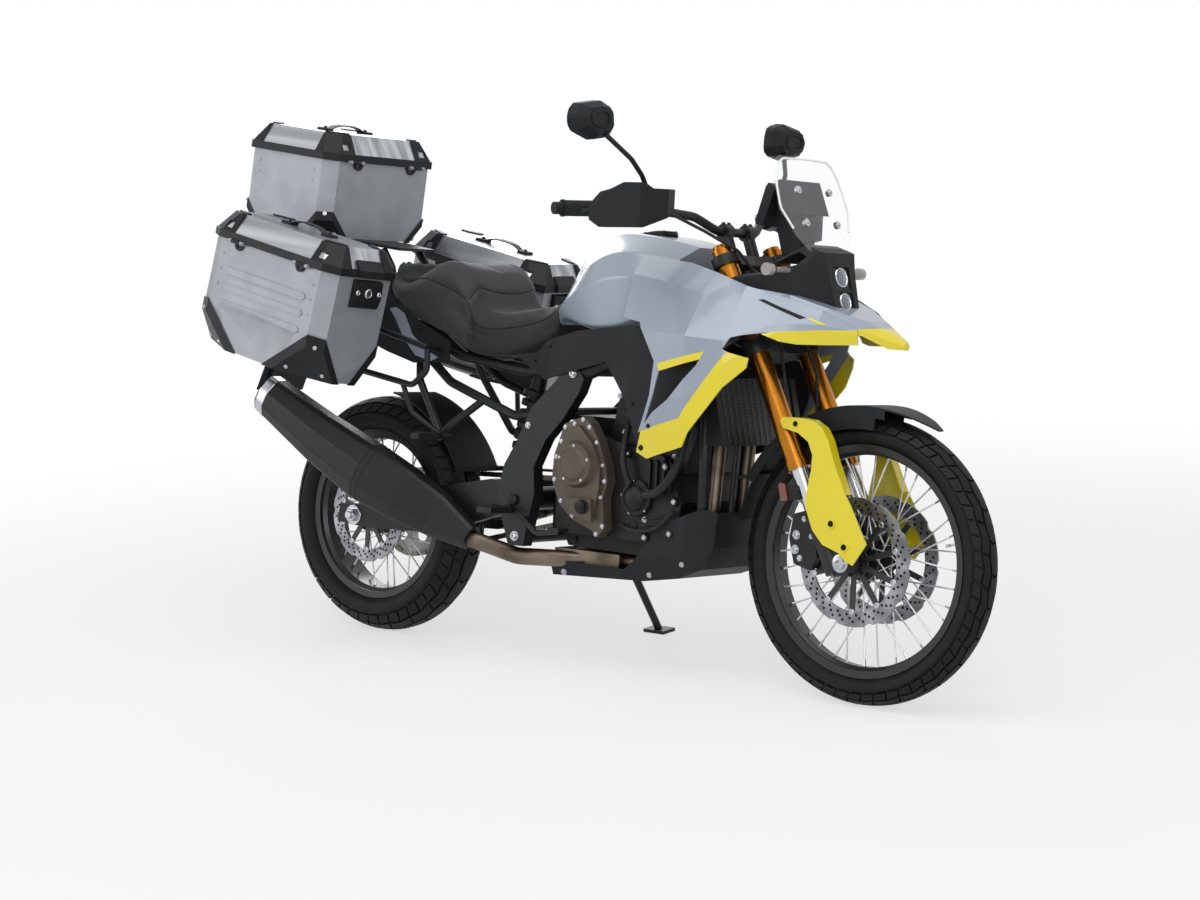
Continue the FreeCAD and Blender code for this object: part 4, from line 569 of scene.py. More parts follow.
def skin(node):
    """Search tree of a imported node's surface, in millimetres on the upright machine."""
    if node not in SKINS:
        mesh = frame["nodes"][node].data
        SKINS[node] = BVHTree.FromPolygons([UNPARK @ v.co for v in mesh.vertices],
                                           [tuple(face.vertices) for face in mesh.polygons])
    return SKINS[node]


def touch(node, start, direction):
    """Where a line from start first meets a node, and the way its surface faces there."""
    way = Vector(direction).normalized()
    place, normal = skin(node).ray_cast(Vector(start), way)[:2]
    if place is None:
        raise RuntimeError(f"{node} isn't met from {tuple(start)} along {tuple(way)}")
    return place, -normal if normal.dot(way) > 0 else normal


class Shape:
    """A fitting's mesh, in millimetres on the upright machine or in axes placed on it."""

    def __init__(self, axes=None):
        self.bm = bmesh.new()
        self.axes = axes or Matrix()

    def bridge(self, rings, along=False, caps=True):
        """Skin over rings of points; along joins the last ring to the first."""
        made = [[self.bm.verts.new(self.axes @ Vector(p)) for p in ring] for ring in rings]
        pairs = list(zip(made, made[1:])) + ([(made[-1], made[0])] if along else [])
        for low, high in pairs:
            for i, corner in enumerate(low):
                j = (i + 1) % len(low)
                self.bm.faces.new((corner, low[j], high[j], high[i]))
        if caps and not along:
            self.bm.faces.new(list(reversed(made[0])))
            self.bm.faces.new(made[-1])

    def turn(self, profile, point, direction, sides=16, along=False, first=0.0):
        """Turned form from rows of distance along and radius."""
        to = facing(point, direction)
        self.bridge([[to @ Vector((r * math.cos(a + first), r * math.sin(a + first), h))
                      for a in turns(sides)] for h, r in profile], along, not along)

    def prism(self, outline, low, high, plane=SIDE):
        """Outline on a plane, carried from low to high square to it."""
        self.bridge([[plane @ Vector((a, b, h)) for a, b in outline] for h in (low, high)])

    def slab(self, outline, low, high, edge, plane=SIDE):
        """Prism whose top edge is eased in towards the outline's middle."""
        count = len(outline)
        mx, my = sum(p[0] for p in outline) / count, sum(p[1] for p in outline) / count
        span = max(math.hypot(a - mx, b - my) for a, b in outline)
        inner = [(a + (mx - a) * edge / span, b + (my - b) * edge / span) for a, b in outline]
        rings = [(outline, low), (outline, high - edge), (inner, high)]
        self.bridge([[plane @ Vector((a, b, h)) for a, b in ring] for ring, h in rings])

    def sweep(self, route, radius, sides=8, closed=False):
        """Round bar along a route."""
        route = [Vector(p) for p in route]
        rings, up = [], None
        for i, point in enumerate(route):
            ahead = route[(i + 1) % len(route)] if closed or i + 1 < len(route) else point
            back = route[i - 1] if closed or i else point
            way = (ahead - back).normalized()
            up = way.orthogonal() if up is None else up - way * up.dot(way)
            up.normalize()
            side = way.cross(up)
            rings.append([point + (up * math.cos(a) + side * math.sin(a)) * radius for a in turns(sides)])
        self.bridge(rings, along=closed)

    def bolt(self, point, direction, r=5.0):
        """Flanged cap screw with a socket."""
        self.turn([(-1.5, 1.5 * r), (0.15 * r, 1.5 * r), (0.3 * r, 1.4 * r), (0.3 * r, r), (0.95 * r, r),
                   (1.1 * r, 0.85 * r), (1.1 * r, 0.5 * r), (0.6 * r, 0.48 * r)], point, direction, 12)

    def nut(self, point, direction, r=9.0, thread=0.0):
        """Washer and six-sided nut, with the stud's end when thread is given."""
        self.turn([(-1.5, 1.45 * r), (0.12 * r, 1.45 * r), (0.2 * r, 1.38 * r)], point, direction, 20)
        self.turn([(0.0, r), (0.72 * r, r), (0.86 * r, 0.86 * r)], point, direction, 6)
        if thread:
            self.turn([(0.5 * r, thread), (1.25 * r, thread), (1.35 * r, 0.8 * thread)], point, direction, 12)

    def piece(self, name, node, finish, bevel=0.0, angle=35.0, slot=None):
        """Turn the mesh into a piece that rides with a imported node."""
        bmesh.ops.recalc_face_normals(self.bm, faces=self.bm.faces[:])
        self.bm.transform(PARK)
        limit = math.radians(angle)
        for face in self.bm.faces:
            face.smooth = True
        for edge in self.bm.edges:
            edge.smooth = len(edge.link_faces) == 2 and edge.calc_face_angle(0.0) < limit
        mesh = bpy.data.meshes.new(name)
        self.bm.to_mesh(mesh)
        self.bm.free()
        mesh.materials.append(FINISHES[finish])
        made = bpy.data.objects.new(name, mesh)
        bpy.context.scene.collection.objects.link(made)
        if bevel:
            ease_edges(made, bevel)
        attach(made, BODY_OF[node])
        slot or SLOT_OF[node]
        return made


def ease_edges(piece, width):
    """Small rounded edges, width in millimetres."""
    ease = piece.modifiers.new("Eased edges", "BEVEL")
    ease.width = width * 0.001
    ease.segments = 2
    ease.limit_method = "ANGLE"
    ease.angle_limit = math.radians(38.0)
    ease.use_clamp_overlap = True
    ease.harden_normals = False


def both(row):
    """A place or direction on each side of the machine."""
    x, y, z = row
    return (1, (x, y, z)), (-1, (x, -y, z))


def laid(shape, node, outline, thickness, side, cuts=3):
    """Thin piece with the outline (x, z) that lies on the outside of a node."""
    bm = bmesh.new()
    face = bm.faces.new([bm.verts.new((x, 0.0, z)) for x, z in outline])
    bmesh.ops.triangulate(bm, faces=[face])
    for _ in range(cuts):
        bmesh.ops.subdivide_edges(bm, edges=[e for e in bm.edges if e.calc_length() > 9.0], cuts=1)
        bmesh.ops.triangulate(bm, faces=[f for f in bm.faces if len(f.verts) > 3])
    low, high = {}, {}
    for vert in bm.verts:
        place, normal = touch(node, (vert.co.x, side * OUTSIDE, vert.co.z), (0, -side, 0))
        high[vert] = shape.bm.verts.new(place + normal * thickness)
        low[vert] = shape.bm.verts.new(place - normal * 0.6)
    for face in bm.faces:
        shape.bm.faces.new([high[v] for v in face.verts])
        shape.bm.faces.new([low[v] for v in reversed(face.verts)])
    for edge in bm.edges:
        if len(edge.link_faces) == 1:
            a, b = edge.verts
            shape.bm.faces.new((high[a], high[b], low[b], low[a]))
    bm.free()


def girdle(shape, node, rows, way, reach, count=48):
    """Band round a node; a row is a middle point and how proud the band is there."""
    to = facing((0, 0, 0), way)
    rings = []
    for middle, proud in rows:
        ring = []
        for a in turns(count):
            out = (to @ Vector((math.cos(a), math.sin(a), 0.0))).normalized()
            place = touch(node, Vector(middle) + out * reach, -out)[0]
            ring.append(place + out * proud)
        rings.append(ring)
    shape.bridge(rings, caps=False)


# ------------------------------------------------------------------ operators
class MOTORCYCLE_OT_finishes(bpy.types.Operator):
    """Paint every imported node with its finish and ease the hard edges"""
    bl_idname = "motorcycle.finishes"
    bl_label = "Finishes"

    special = {
        "fork_legs": "fork_leg", "front_spoked_wheel": "front_wheel", "rear_spoked_wheel": "rear_wheel",
        "front_discs": "front_disc", "rear_disc": "rear_disc", "right_case_lid_panel": "lid_sheet",
        "left_case_lid_panel": "lid_sheet",
        "top_case_lid_panel": "lid_sheet",
    }
    eased = {
        "engine": 1.6, "engine_covers": 1.4, "front_calipers": 1.2, "rear_caliper": 1.2, "fork_clamps": 1.2,
        "skid_plate": 0.8, "right_case": 1.2, "left_case": 1.2, "top_case": 1.2, "right_case_lid": 1.0,
        "left_case_lid": 1.0, "top_case_lid": 1.0, "case_corners": 0.9, "swingarm": 1.6,
        "rear_fender": 1.0, "instrument_panel": 1.2, "footpegs": 1.0, "chain_guard": 0.8,
    }

    def execute(self, context):
        FINISHES.update(make_finishes(context.scene.motorcycle_finish))
        for name, piece in frame["nodes"].items():
            piece.data.materials.clear()
            piece.data.materials.append(FINISHES[self.special.get(name, SLOT_OF[name])])
            if name in self.eased:
                weld = piece.modifiers.new("Joined corners", "WELD")
                weld.merge_threshold = 0.00002
                ease_edges(piece, self.eased[name])
        return {"FINISHED"}


TREAD_ACROSS = (0.0, 0.20, 0.27, 0.53, 0.60, 0.88, 1.0)     # share of the crown, from the middle out
TREAD_DEPTH = (1.0, 1.0, 1.0, 1.0, 1.0, 0.8, 0.0)
TREAD_AROUND = (0.0, 0.14, 0.28, 0.42, 0.50, 0.64, 0.78, 0.92)   # share of a pitch
TREAD_SWING = (-1.0, -0.33, 0.33, 1.0, 1.0, 0.33, -0.33, -1.0)
TREAD_CUTS = {0: (7,), 2: (3,), 4: (3, 7)}                  # column: rows that are cut across
TREAD_ROUND = (1, 3, 5)                                     # columns that are grooves all round


# Node, axle, then tread radius, half width, crown radius, lip radius, half width and radius at
# the bead, and the number of tread pitches.
TYRES = (
    ("front_tyre", FRONT_AXLE, 346.8, 46.0, 47.0, 280.0, 28.0, 268.0, 28),
    ("rear_tyre", REAR_AXLE, 321.0, 75.0, 80.0, 231.0, 50.0, 219.0, 24),
)


class MOTORCYCLE_OT_tyres(bpy.types.Operator):
    """Tyres with chevron blocks, zigzag grooves and ribbed sidewalls"""
    bl_idname = "motorcycle.tyres"
    bl_label = "Tyres"

    def execute(self, context):
        s = context.scene.motorcycle_tread
        for row in TYRES:
            self.tyre(*row, s)
        return {"FINISHED"}

    def tyre(self, node, axle, radius, half, crown, lip, bead, bead_r, pitches, s):
        edge = math.asin(half / crown)
        shoulder = radius - crown + crown * math.cos(edge)
        wall = arc_through((shoulder, half), ((shoulder + lip) / 2, half - 2), (lip, bead), 9)[1:]
        pitch = 2 * math.pi / pitches
        shear = s.chevron / radius
        shape = Shape()
        columns = len(TREAD_ACROSS) - 1
        count = pitches * len(TREAD_AROUND)

        def crown_point(column, side, row, deep):
            swing = TREAD_SWING[row % len(TREAD_AROUND)] * s.zigzag if 0 < column < 5 else 0.0
            reach = TREAD_ACROSS[column] * edge * crown + swing
            a = reach / crown
            r = radius - crown + (crown - deep * TREAD_DEPTH[column] * s.groove) * math.cos(a)
            y = (crown - deep * TREAD_DEPTH[column] * s.groove) * math.sin(a)
            turn, step = divmod(row, len(TREAD_AROUND))
            at = (turn + TREAD_AROUND[step]) * pitch + reach * shear
            return axle + Vector((r * math.cos(at), side * y, r * math.sin(at)))

        made = {}

        def vert(side, column, row, deep):
            deep = deep if TREAD_DEPTH[column] else 0
            key = (side if column else 0, column, row % count, deep)
            if key not in made:
                made[key] = shape.bm.verts.new(crown_point(column, side, row % count, deep))
            return made[key]

        def sunk(column, row):
            return column in TREAD_ROUND or row % len(TREAD_AROUND) in TREAD_CUTS.get(column, ())

        for side in (1, -1):
            for row in range(count):
                for column in range(columns):
                    deep = 1 if sunk(column, row) else 0
                    corners = [(column, row), (column + 1, row), (column + 1, row + 1), (column, row + 1)]
                    shape.bm.faces.new([vert(side, c, r, deep) for c, r in corners])
                    if column + 1 < columns and sunk(column + 1, row) != bool(deep):
                        a, b = (column + 1, row), (column + 1, row + 1)
                        self.step(shape, [vert(side, *a, 0), vert(side, *b, 0), vert(side, *b, 1),
                                          vert(side, *a, 1)])
                    if sunk(column, row + 1) != bool(deep):
                        a, b = (column, row + 1), (column + 1, row + 1)
                        self.step(shape, [vert(side, *a, 0), vert(side, *b, 0), vert(side, *b, 1),
                                          vert(side, *a, 1)])
        self.walls(shape, axle, wall, bead_r, bead, vert, columns, count, pitch, edge * crown * shear)
        tyre = shape.piece(node + "_tread", node, "tyre", angle=32.0)
        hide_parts(node)

    def step(self, shape, corners):
        ring = [corner for i, corner in enumerate(corners) if corner is not corners[i - 1]]
        if len(ring) > 2:
            shape.bm.faces.new(ring)

    def walls(self, shape, axle, wall, bead_r, bead, vert, columns, count, pitch, shear):
        """Sidewalls with two raised rings, and the band on the rim that joins them."""
        raised = {3: 0.9, 4: 0.9, 7: 1.2}
        rings = {}
        for side in (1, -1):
            rings[side] = [[vert(side, columns, row, 0) for row in range(count)]]
            for place, (r, y) in enumerate(wall + [(bead_r, bead)]):
                y += raised.get(place, 0.0)
                ring = []
                for row in range(count):
                    turn, part = divmod(row, len(TREAD_AROUND))
                    at = (turn + TREAD_AROUND[part]) * pitch + shear
                    ring.append(shape.bm.verts.new(axle + Vector((r * math.cos(at), side * y,
                                                                  r * math.sin(at)))))
                rings[side].append(ring)
            for low, high in zip(rings[side], rings[side][1:]):
                for i in range(count):
                    j = (i + 1) % count
                    shape.bm.faces.new((low[i], low[j], high[j], high[i]))
        for i in range(count):
            j = (i + 1) % count
            right, left = rings[-1][-1], rings[1][-1]
            shape.bm.faces.new((right[i], right[j], left[j], left[i]))


class MOTORCYCLE_OT_wheels(bpy.types.Operator):
    """Spoke nipples, disc bolts, near-black painted shade for the disc drillings, valves and axle nuts"""
    bl_idname = "motorcycle.wheels"
    bl_label = "Wheel fittings"

    def execute(self, context):
        self.nipples("front", "front_spoked_wheel", FRONT_AXLE, 257.0, 41.0, 30.0)
        self.nipples("rear", "rear_spoked_wheel", REAR_AXLE, 208.0, 51.0, 38.0)
        self.disc("front_left", "front_discs", FRONT_AXLE, 63.0, 1, 118.0, 31.0, (126.0, 134.0, 142.0))
        self.disc("front_right", "front_discs", FRONT_AXLE, -63.0, -1, 118.0, 31.0, (126.0, 134.0, 142.0))
        self.disc("rear", "rear_disc", REAR_AXLE, -84.0, -1, 96.0, 39.0, (103.0, 110.0, 117.0))
        self.axle_nuts()
        return {"FINISHED"}

    def nipples(self, name, node, axle, rim_r, hub_r, hub_y):
        """A nipple on each spoke's outer end, in line with the spoke."""
        shape = Shape()
        cross, rim_y = math.radians(58.0), 6.0
        for i in range(36):
            side, lean = (1 if i % 2 else -1), (1 if i % 4 < 2 else -1)
            at = math.radians(10.0 * i)
            hub_at = at + lean * cross
            start = axle + Vector((hub_r * math.cos(hub_at), side * (hub_y + lean * 2.5),
                                   hub_r * math.sin(hub_at)))
            end = axle + Vector((rim_r * math.cos(at), side * rim_y, rim_r * math.sin(at)))
            way = (start - end).normalized()
            shape.turn([(-1.0, 4.2), (5.0, 3.6), (6.0, 3.0), (19.0, 2.7), (20.0, 2.2)], end, way, 6)
            head = start - way * 4.0
            shape.turn([(0.0, 2.2), (1.0, 3.6), (4.0, 3.6), (5.0, 2.4)], head, -way, 6)
        valve = axle + Vector(((rim_r - 2) * math.cos(0.26), 0.0, (rim_r - 2) * math.sin(0.26)))
        inward = (axle - valve).normalized()
        shape.turn([(-2, 7), (3, 6), (4, 3), (24, 3), (25, 4), (36, 4), (37, 3)], valve, inward, 10)
        shape.piece(name + "_spoke_nipples", node, "bolt_steel", slot="bright_steel")

    def disc(self, name, node, axle, y, side, arm_r, bolt_r, rows):
        out = ACROSS * side
        middle = axle + ACROSS * y
        bobbins, bolts, hole_shades = Shape(), Shape(), Shape()
        for i in range(10):
            at = 2 * math.pi * (i + 0.5) / 10
            spot = middle + Vector((math.cos(at), 0.0, math.sin(at))) * arm_r
            bobbins.turn([(-4.0, 5.0), (-3.4, 7.5), (3.4, 7.5), (4.2, 6.6), (4.2, 4.4), (2.6, 4.0)], spot,
                         out, 14)
        for i in range(6):
            at = math.radians(60 * i + 12)
            spot = middle + Vector((math.cos(at), 0.0, math.sin(at))) * bolt_r + out * 2.0
            bolts.bolt(spot, out, 4.2)
        # Each drilling is a thin near-black disc on both faces of the disc: painted shade, not an opening.
        for i in range(30):
            for k, r in enumerate(rows):
                at = math.radians(12 * i + 4 * k)
                for face in (1, -1):
                    spot = middle + Vector((math.cos(at), 0.0, math.sin(at))) * r + ACROSS * (face * 2.5)
                    hole_shades.turn([(-0.3, 3.5), (0.12, 3.5)], spot, ACROSS * face, 10)
        bobbins.piece(name + "_disc_bobbins", node, "bolt_steel")
        bolts.piece(name + "_disc_bolts", node, "dark_bolt")
        hole_shades.piece(name + "_disc_holes", node, "painted_hole_shade")

    def axle_nuts(self):
        front, rear, back = Shape(), Shape(), Shape()
        for side in (1, -1):
            out = ACROSS * side
            front.turn([(-1, 22), (2, 22), (3, 20), (3, 15), (9, 15), (10, 13), (10, 8), (4, 8)],
                       FRONT_AXLE + out * 125.0, out, 24)
            rear.nut(REAR_AXLE + out * 142.0, out, 19.0, 11.0)
            rear.turn([(-8, 5), (10, 5), (11, 4)], REAR_AXLE + Vector((-58, side * 125, 2)), (-1, 0, 0), 8)
            back.nut(Vector((604, side * 182.0, 417)), out, 15.0)
        front.piece("front_axle_caps", "fork_legs", "bolt_steel")
        rear.piece("rear_axle_nuts", "swingarm", "bolt_steel", slot="bright_steel")
        back.piece("swingarm_pivot_nuts", "main_frame", "dark_bolt")


class MOTORCYCLE_OT_chain(bpy.types.Operator):
    """Roller chain with its links, and the teeth of both sprockets"""
    bl_idname = "motorcycle.chain"
    bl_label = "Chain"

    big, small, drive = 117.0, 44.0, (664.0, 417.0)

    def run(self, count):
        """Points round both sprockets, each with its way forward."""
        gap_x, gap_z = self.drive[0] - REAR_AXLE.x, self.drive[1] - REAR_AXLE.z
        gap, slope = math.hypot(gap_x, gap_z), math.atan2(gap_z, gap_x)
        tilt = math.asin((self.big - self.small) / gap)
        straight = gap * math.cos(tilt)
        wrap_big, wrap_small = self.big * (math.pi + 2 * tilt), self.small * (math.pi - 2 * tilt)
        whole = 2 * straight + wrap_big + wrap_small
        made = []
        up = slope + math.pi / 2 - tilt
        for i in range(count):
            d = whole * i / count
            if d < straight:
                t = d / straight
                ax = REAR_AXLE.x + self.big * math.cos(up)
                az = REAR_AXLE.z + self.big * math.sin(up)
                bx = self.drive[0] + self.small * math.cos(up)
                bz = self.drive[1] + self.small * math.sin(up)
                made.append((ax + (bx - ax) * t, az + (bz - az) * t))
                continue
            d -= straight
            if d < wrap_small:
                a = up - d / self.small
                made.append((self.drive[0] + self.small * math.cos(a),
                             self.drive[1] + self.small * math.sin(a)))
                continue
            d -= wrap_small
            down = slope - math.pi / 2 + tilt
            if d < straight:
                t = d / straight
                ax = self.drive[0] + self.small * math.cos(down)
                az = self.drive[1] + self.small * math.sin(down)
                bx = REAR_AXLE.x + self.big * math.cos(down)
                bz = REAR_AXLE.z + self.big * math.sin(down)
                made.append((ax + (bx - ax) * t, az + (bz - az) * t))
                continue
            a = down - (d - straight) / self.big
            made.append((REAR_AXLE.x + self.big * math.cos(a), REAR_AXLE.z + self.big * math.sin(a)))
        return made

    def execute(self, context):
        links, rollers = Shape(), Shape()
        count = 120
        points = self.run(count)
        for i, (x, z) in enumerate(points):
            nx, nz = points[(i + 1) % count]
            long = math.hypot(nx - x, nz - z)
            ux, uz = (nx - x) / long, (nz - z) / long
            outline = []
            for end, turn in ((long, -1), (0.0, 1)):
                for k in range(6):
                    a = math.pi / 2 * turn + (math.pi * k / 5)
                    px, pz = end + 6.6 * math.cos(a), 6.6 * math.sin(a)
                    outline.append((x + ux * px - uz * pz, z + uz * px + ux * pz))
            off = 7.2 if i % 2 else 5.0
            for y in (off, -off):
                links.prism(outline, 98.0 + y - 0.9, 98.0 + y + 0.9)
            rollers.turn([(-4.0, 5.0), (4.0, 5.0)], (x, 98.0, z), ACROSS, 8)
            rollers.turn([(-8.6, 2.6), (8.6, 2.6)], (x, 98.0, z), ACROSS, 8)
        chain = links.piece("chain_links", "chain", "chain_steel")
        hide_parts("chain")
        rollers.piece("chain_rollers", "chain", "chain_steel")
        self.teeth("rear_sprocket_teeth", "rear_sprocket", REAR_AXLE.x, REAR_AXLE.z, self.big, 46, 106.0)
        self.teeth("drive_sprocket", "engine", *self.drive, self.small, 17, 14.0)
        return {"FINISHED"}

    def teeth(self, name, node, x, z, pitch_r, count, inner):
        outline, inside = [], []
        for i in range(count * 4):
            a = 2 * math.pi * i / (count * 4)
            r = pitch_r + (-5.5, -1.0, 3.2, -1.0)[i % 4]
            outline.append((x + r * math.cos(a), z + r * math.sin(a)))
            inside.append((x + inner * math.cos(a), z + inner * math.sin(a)))
        shape = Shape()
        rings = [[(a, 98.0 + y, b) for a, b in ring] for ring, y in
                 ((inside, -3.2), (outline, -3.2), (outline, 3.2), (inside, 3.2))]
        shape.bridge(rings, along=True)
        shape.piece(name, node, "disc_steel", slot="disc_steel")


SEAT_SKIRT = ((655, 838), (600, 800), (500, 782), (370, 800), (240, 850), (92, 935))
# The cover stays put up to HELD_EDGE above the skirt's line and ahead of HELD_NOSE. A seam draws
# the cover in as far as SEAM_REACH from it.
HELD_EDGE = 26.0
HELD_NOSE = 632.0
SEAM_REACH = 11.0
SEAT_FACE = 0.006           # metres
SWELL_FRAMES = 20
SEAT_BEND = ((640, 104, 900), (600, 122, 872), (500, 148, 852), (420, 154, 858), (370, 152, 925),
             (240, 146, 968), (104, 118, 994))


class MOTORCYCLE_OT_seat(bpy.types.Operator):
    """Rider's and passenger's seat of covered foam with drawn seams and stitching"""
    bl_idname = "motorcycle.seat"
    bl_label = "Seat"

    def execute(self, context):
        s = context.scene.motorcycle_seat
        seat = self.foam(s)
        verts = [UNPARK @ v.co for v in seat.data.vertices]
        faces = [tuple(face.vertices) for face in seat.data.polygons]
        cover = BVHTree.FromPolygons(verts, faces)
        seams = self.seams(cover)
        self.draw_in(seat, verts, seams, s.seam_depth)
        smooth = seat.modifiers.new("Soft surface", "SUBSURF")
        smooth.levels = smooth.render_levels = 1
        seat.data.materials.append(FINISHES["seat_vinyl"])
        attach(seat, "chassis")
        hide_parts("seat")
        drawn = BVHTree.FromPolygons([UNPARK @ v.co for v in seat.data.vertices], faces)
        self.sew(drawn, seams, s.stitch_pitch)
        return {"FINISHED"}

    def foam(self, s):
        """Foam that starts inside the seat's form and swells under its cover."""
        mesh = frame["nodes"]["seat"].data.copy()
        mesh.materials.clear()
        seat = bpy.data.objects.new("seat_padding", mesh)
        bpy.context.scene.collection.objects.link(seat)
        bm = bmesh.new()
        bm.from_mesh(mesh)
        bmesh.ops.remove_doubles(bm, verts=bm.verts[:], dist=0.00002)
        bmesh.ops.recalc_face_normals(bm, faces=bm.faces[:])
        bm.normal_update()
        places = {v: v.co - v.normal * s.start_inside for v in bm.verts}
        for vert, place in places.items():
            vert.co = place
        bm.to_mesh(mesh)
        bm.free()
        remesh = seat.modifiers.new("Even faces", "REMESH")
        remesh.mode = "VOXEL"
        remesh.voxel_size = SEAT_FACE
        remesh.use_smooth_shade = True
        self.settle(seat)
        self.swell(seat, s.swell)
        for face in seat.data.polygons:
            face.use_smooth = True
        return seat

    def settle(self, piece):
        """Keep what the modifiers make as the piece's own mesh."""
        depsgraph = bpy.context.evaluated_depsgraph_get()
        made = bpy.data.meshes.new_from_object(piece.evaluated_get(depsgraph))
        piece.modifiers.clear()
        old = piece.data
        piece.data = made
        bpy.data.meshes.remove(old)

    def swell(self, seat, most):
        """Press the cover out from inside, and no vertex further than most."""
        start = [v.co.copy() for v in seat.data.vertices]
        held = seat.vertex_groups.new(name="held")
        for vert in seat.data.vertices:
            x, _, z = UNPARK @ vert.co
            if z < self.skirt(x) + HELD_EDGE or x > HELD_NOSE:
                held.add([vert.index], 1.0, "REPLACE")
        cloth = seat.modifiers.new("Cover under pressure", "CLOTH")
        settings = cloth.settings
        settings.quality = 5
        settings.mass = 0.4
        settings.tension_stiffness = settings.compression_stiffness = 25.0
        settings.shear_stiffness = 10.0
        settings.bending_stiffness = 2.0
        settings.use_pressure = True
        settings.uniform_pressure_force = 4.0
        settings.vertex_group_mass = "held"
        settings.effector_weights.gravity = 0.0
        cloth.collision_settings.use_collision = False
        for number in range(1, SWELL_FRAMES + 1):
            bpy.context.scene.frame_set(number)
        self.settle(seat)
        bpy.context.scene.frame_set(1)
        for vert, place in zip(seat.data.vertices, start):
            move = vert.co - place
            if move.length > most:
                vert.co = place + move.normalized() * most
        seat.vertex_groups.clear()

    def skirt(self, x):
        """Height of the skirt's line at x."""
        for (x1, z1), (x2, z2) in zip(SEAT_SKIRT, SEAT_SKIRT[1:]):
            if x >= x2:
                return z1 + (z2 - z1) * (x1 - x) / (x1 - x2)
        return SEAT_SKIRT[-1][1]

    def seams(self, cover):
        """Along both side bends, across the step, and down each side of the step."""
        made = []
        for side in (1, -1):
            bend = curve_through([(x, side * w, z) for x, w, z in SEAT_BEND], 4.0)
            made.append([cover.find_nearest(p)[0] for p in bend])
            drop = curve_through([(398, side * 152, 890), (404, side * 152, 850), (412, side * 150, 812)],
                                 4.0)
            made.append([cover.find_nearest(p)[0] for p in drop])
        across = []
        for i in range(71):
            y = -140.0 + 4.0 * i
            place = cover.ray_cast(Vector((397.0 - 14.0 * (y / 140.0) ** 2, y, 1150.0)), -UP)[0]
            if place is not None:
                across.append(place)
        made.append(across)
        return made

    def draw_in(self, seat, verts, seams, depth):
        """Pull the cover down along the seams."""
        points = [p for seam in seams for p in seam]
        tree = KDTree(len(points))
        for i, point in enumerate(points):
            tree.insert(point, i)
        tree.balance()
        turn = UNPARK.to_3x3()
        normals = [(turn @ v.normal).normalized() for v in seat.data.vertices]
        for vert, place, normal in zip(seat.data.vertices, verts, normals):
            distance = tree.find(place)[2]
            if distance < SEAM_REACH:
                share = (1.0 - (distance / SEAM_REACH) ** 2) ** 2
                vert.co = PARK @ (place - normal * (depth * share))

    def sew(self, cover, seams, pitch):
        """A welt in each seam, and a row of stitches beside it."""
        welt, thread = Shape(), Shape()
        for seam in seams:
            line = []
            for point in seam:
                place, normal = cover.find_nearest(point)[:2]
                line.append((place + normal * 0.4, normal))
            welt.sweep([p for p, _ in line], 1.5, 6)
            walked = 0.0
            for (a, na), (b, _) in zip(line, line[1:]):
                way = b - a
                if way.length < 1e-6:
                    continue
                walked += way.length
                if walked < pitch:
                    continue
                walked = 0.0
                beside = way.normalized().cross(na).normalized() * 5.0
                ends = []
                for shift in (-2.0, 0.0, 2.0):
                    spot = cover.find_nearest(a + beside + way.normalized() * shift)
                    ends.append(spot[0] + spot[1] * (0.5 if shift == 0.0 else -0.2))
                thread.sweep(ends, 0.55, 5)
        for shape, name, finish in ((welt, "seat_welts", "seat_cover"), (thread, "seat_stitches", "thread")):
            shape.piece(name, "seat", finish)


COVER_RIGHT = ((788, 633), (817, 645), (840, 628), (868, 589), (893, 529), (902, 486), (890, 441), (898, 367),
               (877, 345), (794, 384), (750, 420), (723, 477), (727, 541), (743, 584), (756, 622))
FRAME_BOLTS = ((745, 600, "engine", 7), (744, 325, "engine", 6), (780, 750, "main_frame", 8),
               (612, 324, "main_frame", 9), (640, 610, "main_frame", 6))
SIDE_BOLTS = (  # x, z, node, radius
    (1060, 585, "shroud_edges", 5.0), (1010, 690, "tank_side_covers", 4.0), (1086, 640, "shroud_panels", 4.0),
    (730, 241, "skid_plate", 6.0), (1120, 300, "skid_plate", 5.0), (1010, 262, "skid_plate", 5.0),
    (640, 776, "tank_side_covers", 4.0), (700, 815, "tank_side_covers", 4.0), (220, 835, "tail_covers", 4.5),
    (120, 905, "tail_covers", 4.5), (1548, 440, "fork_guards", 5.0), (1588, 388, "fork_guards", 5.0),
    (1430, 668, "fork_guards", 4.5), (326, 392, "swingarm", 5.0), (1432, 345, "front_calipers", 5.5),
    (1462, 400, "front_calipers", 4.5), (1440, 440, "front_calipers", 5.0),
    (1420, 400, "front_calipers", 8.0),
    (1418, 365, "front_calipers", 8.0),
)


# Middle in X and Z and radius of two screw circles: the generator cover on the left and the
# plate on the clutch cover on the right.
GENERATOR = (950, 470, 83)
CLUTCH_PLATE = (812, 524, 47)


def on_circle(circle, angle, y):
    """Point at an angle on a circle that is given by its middle in X and Z and its radius."""
    x, z, r = circle
    return x + r * math.cos(angle), y, z + r * math.sin(angle)


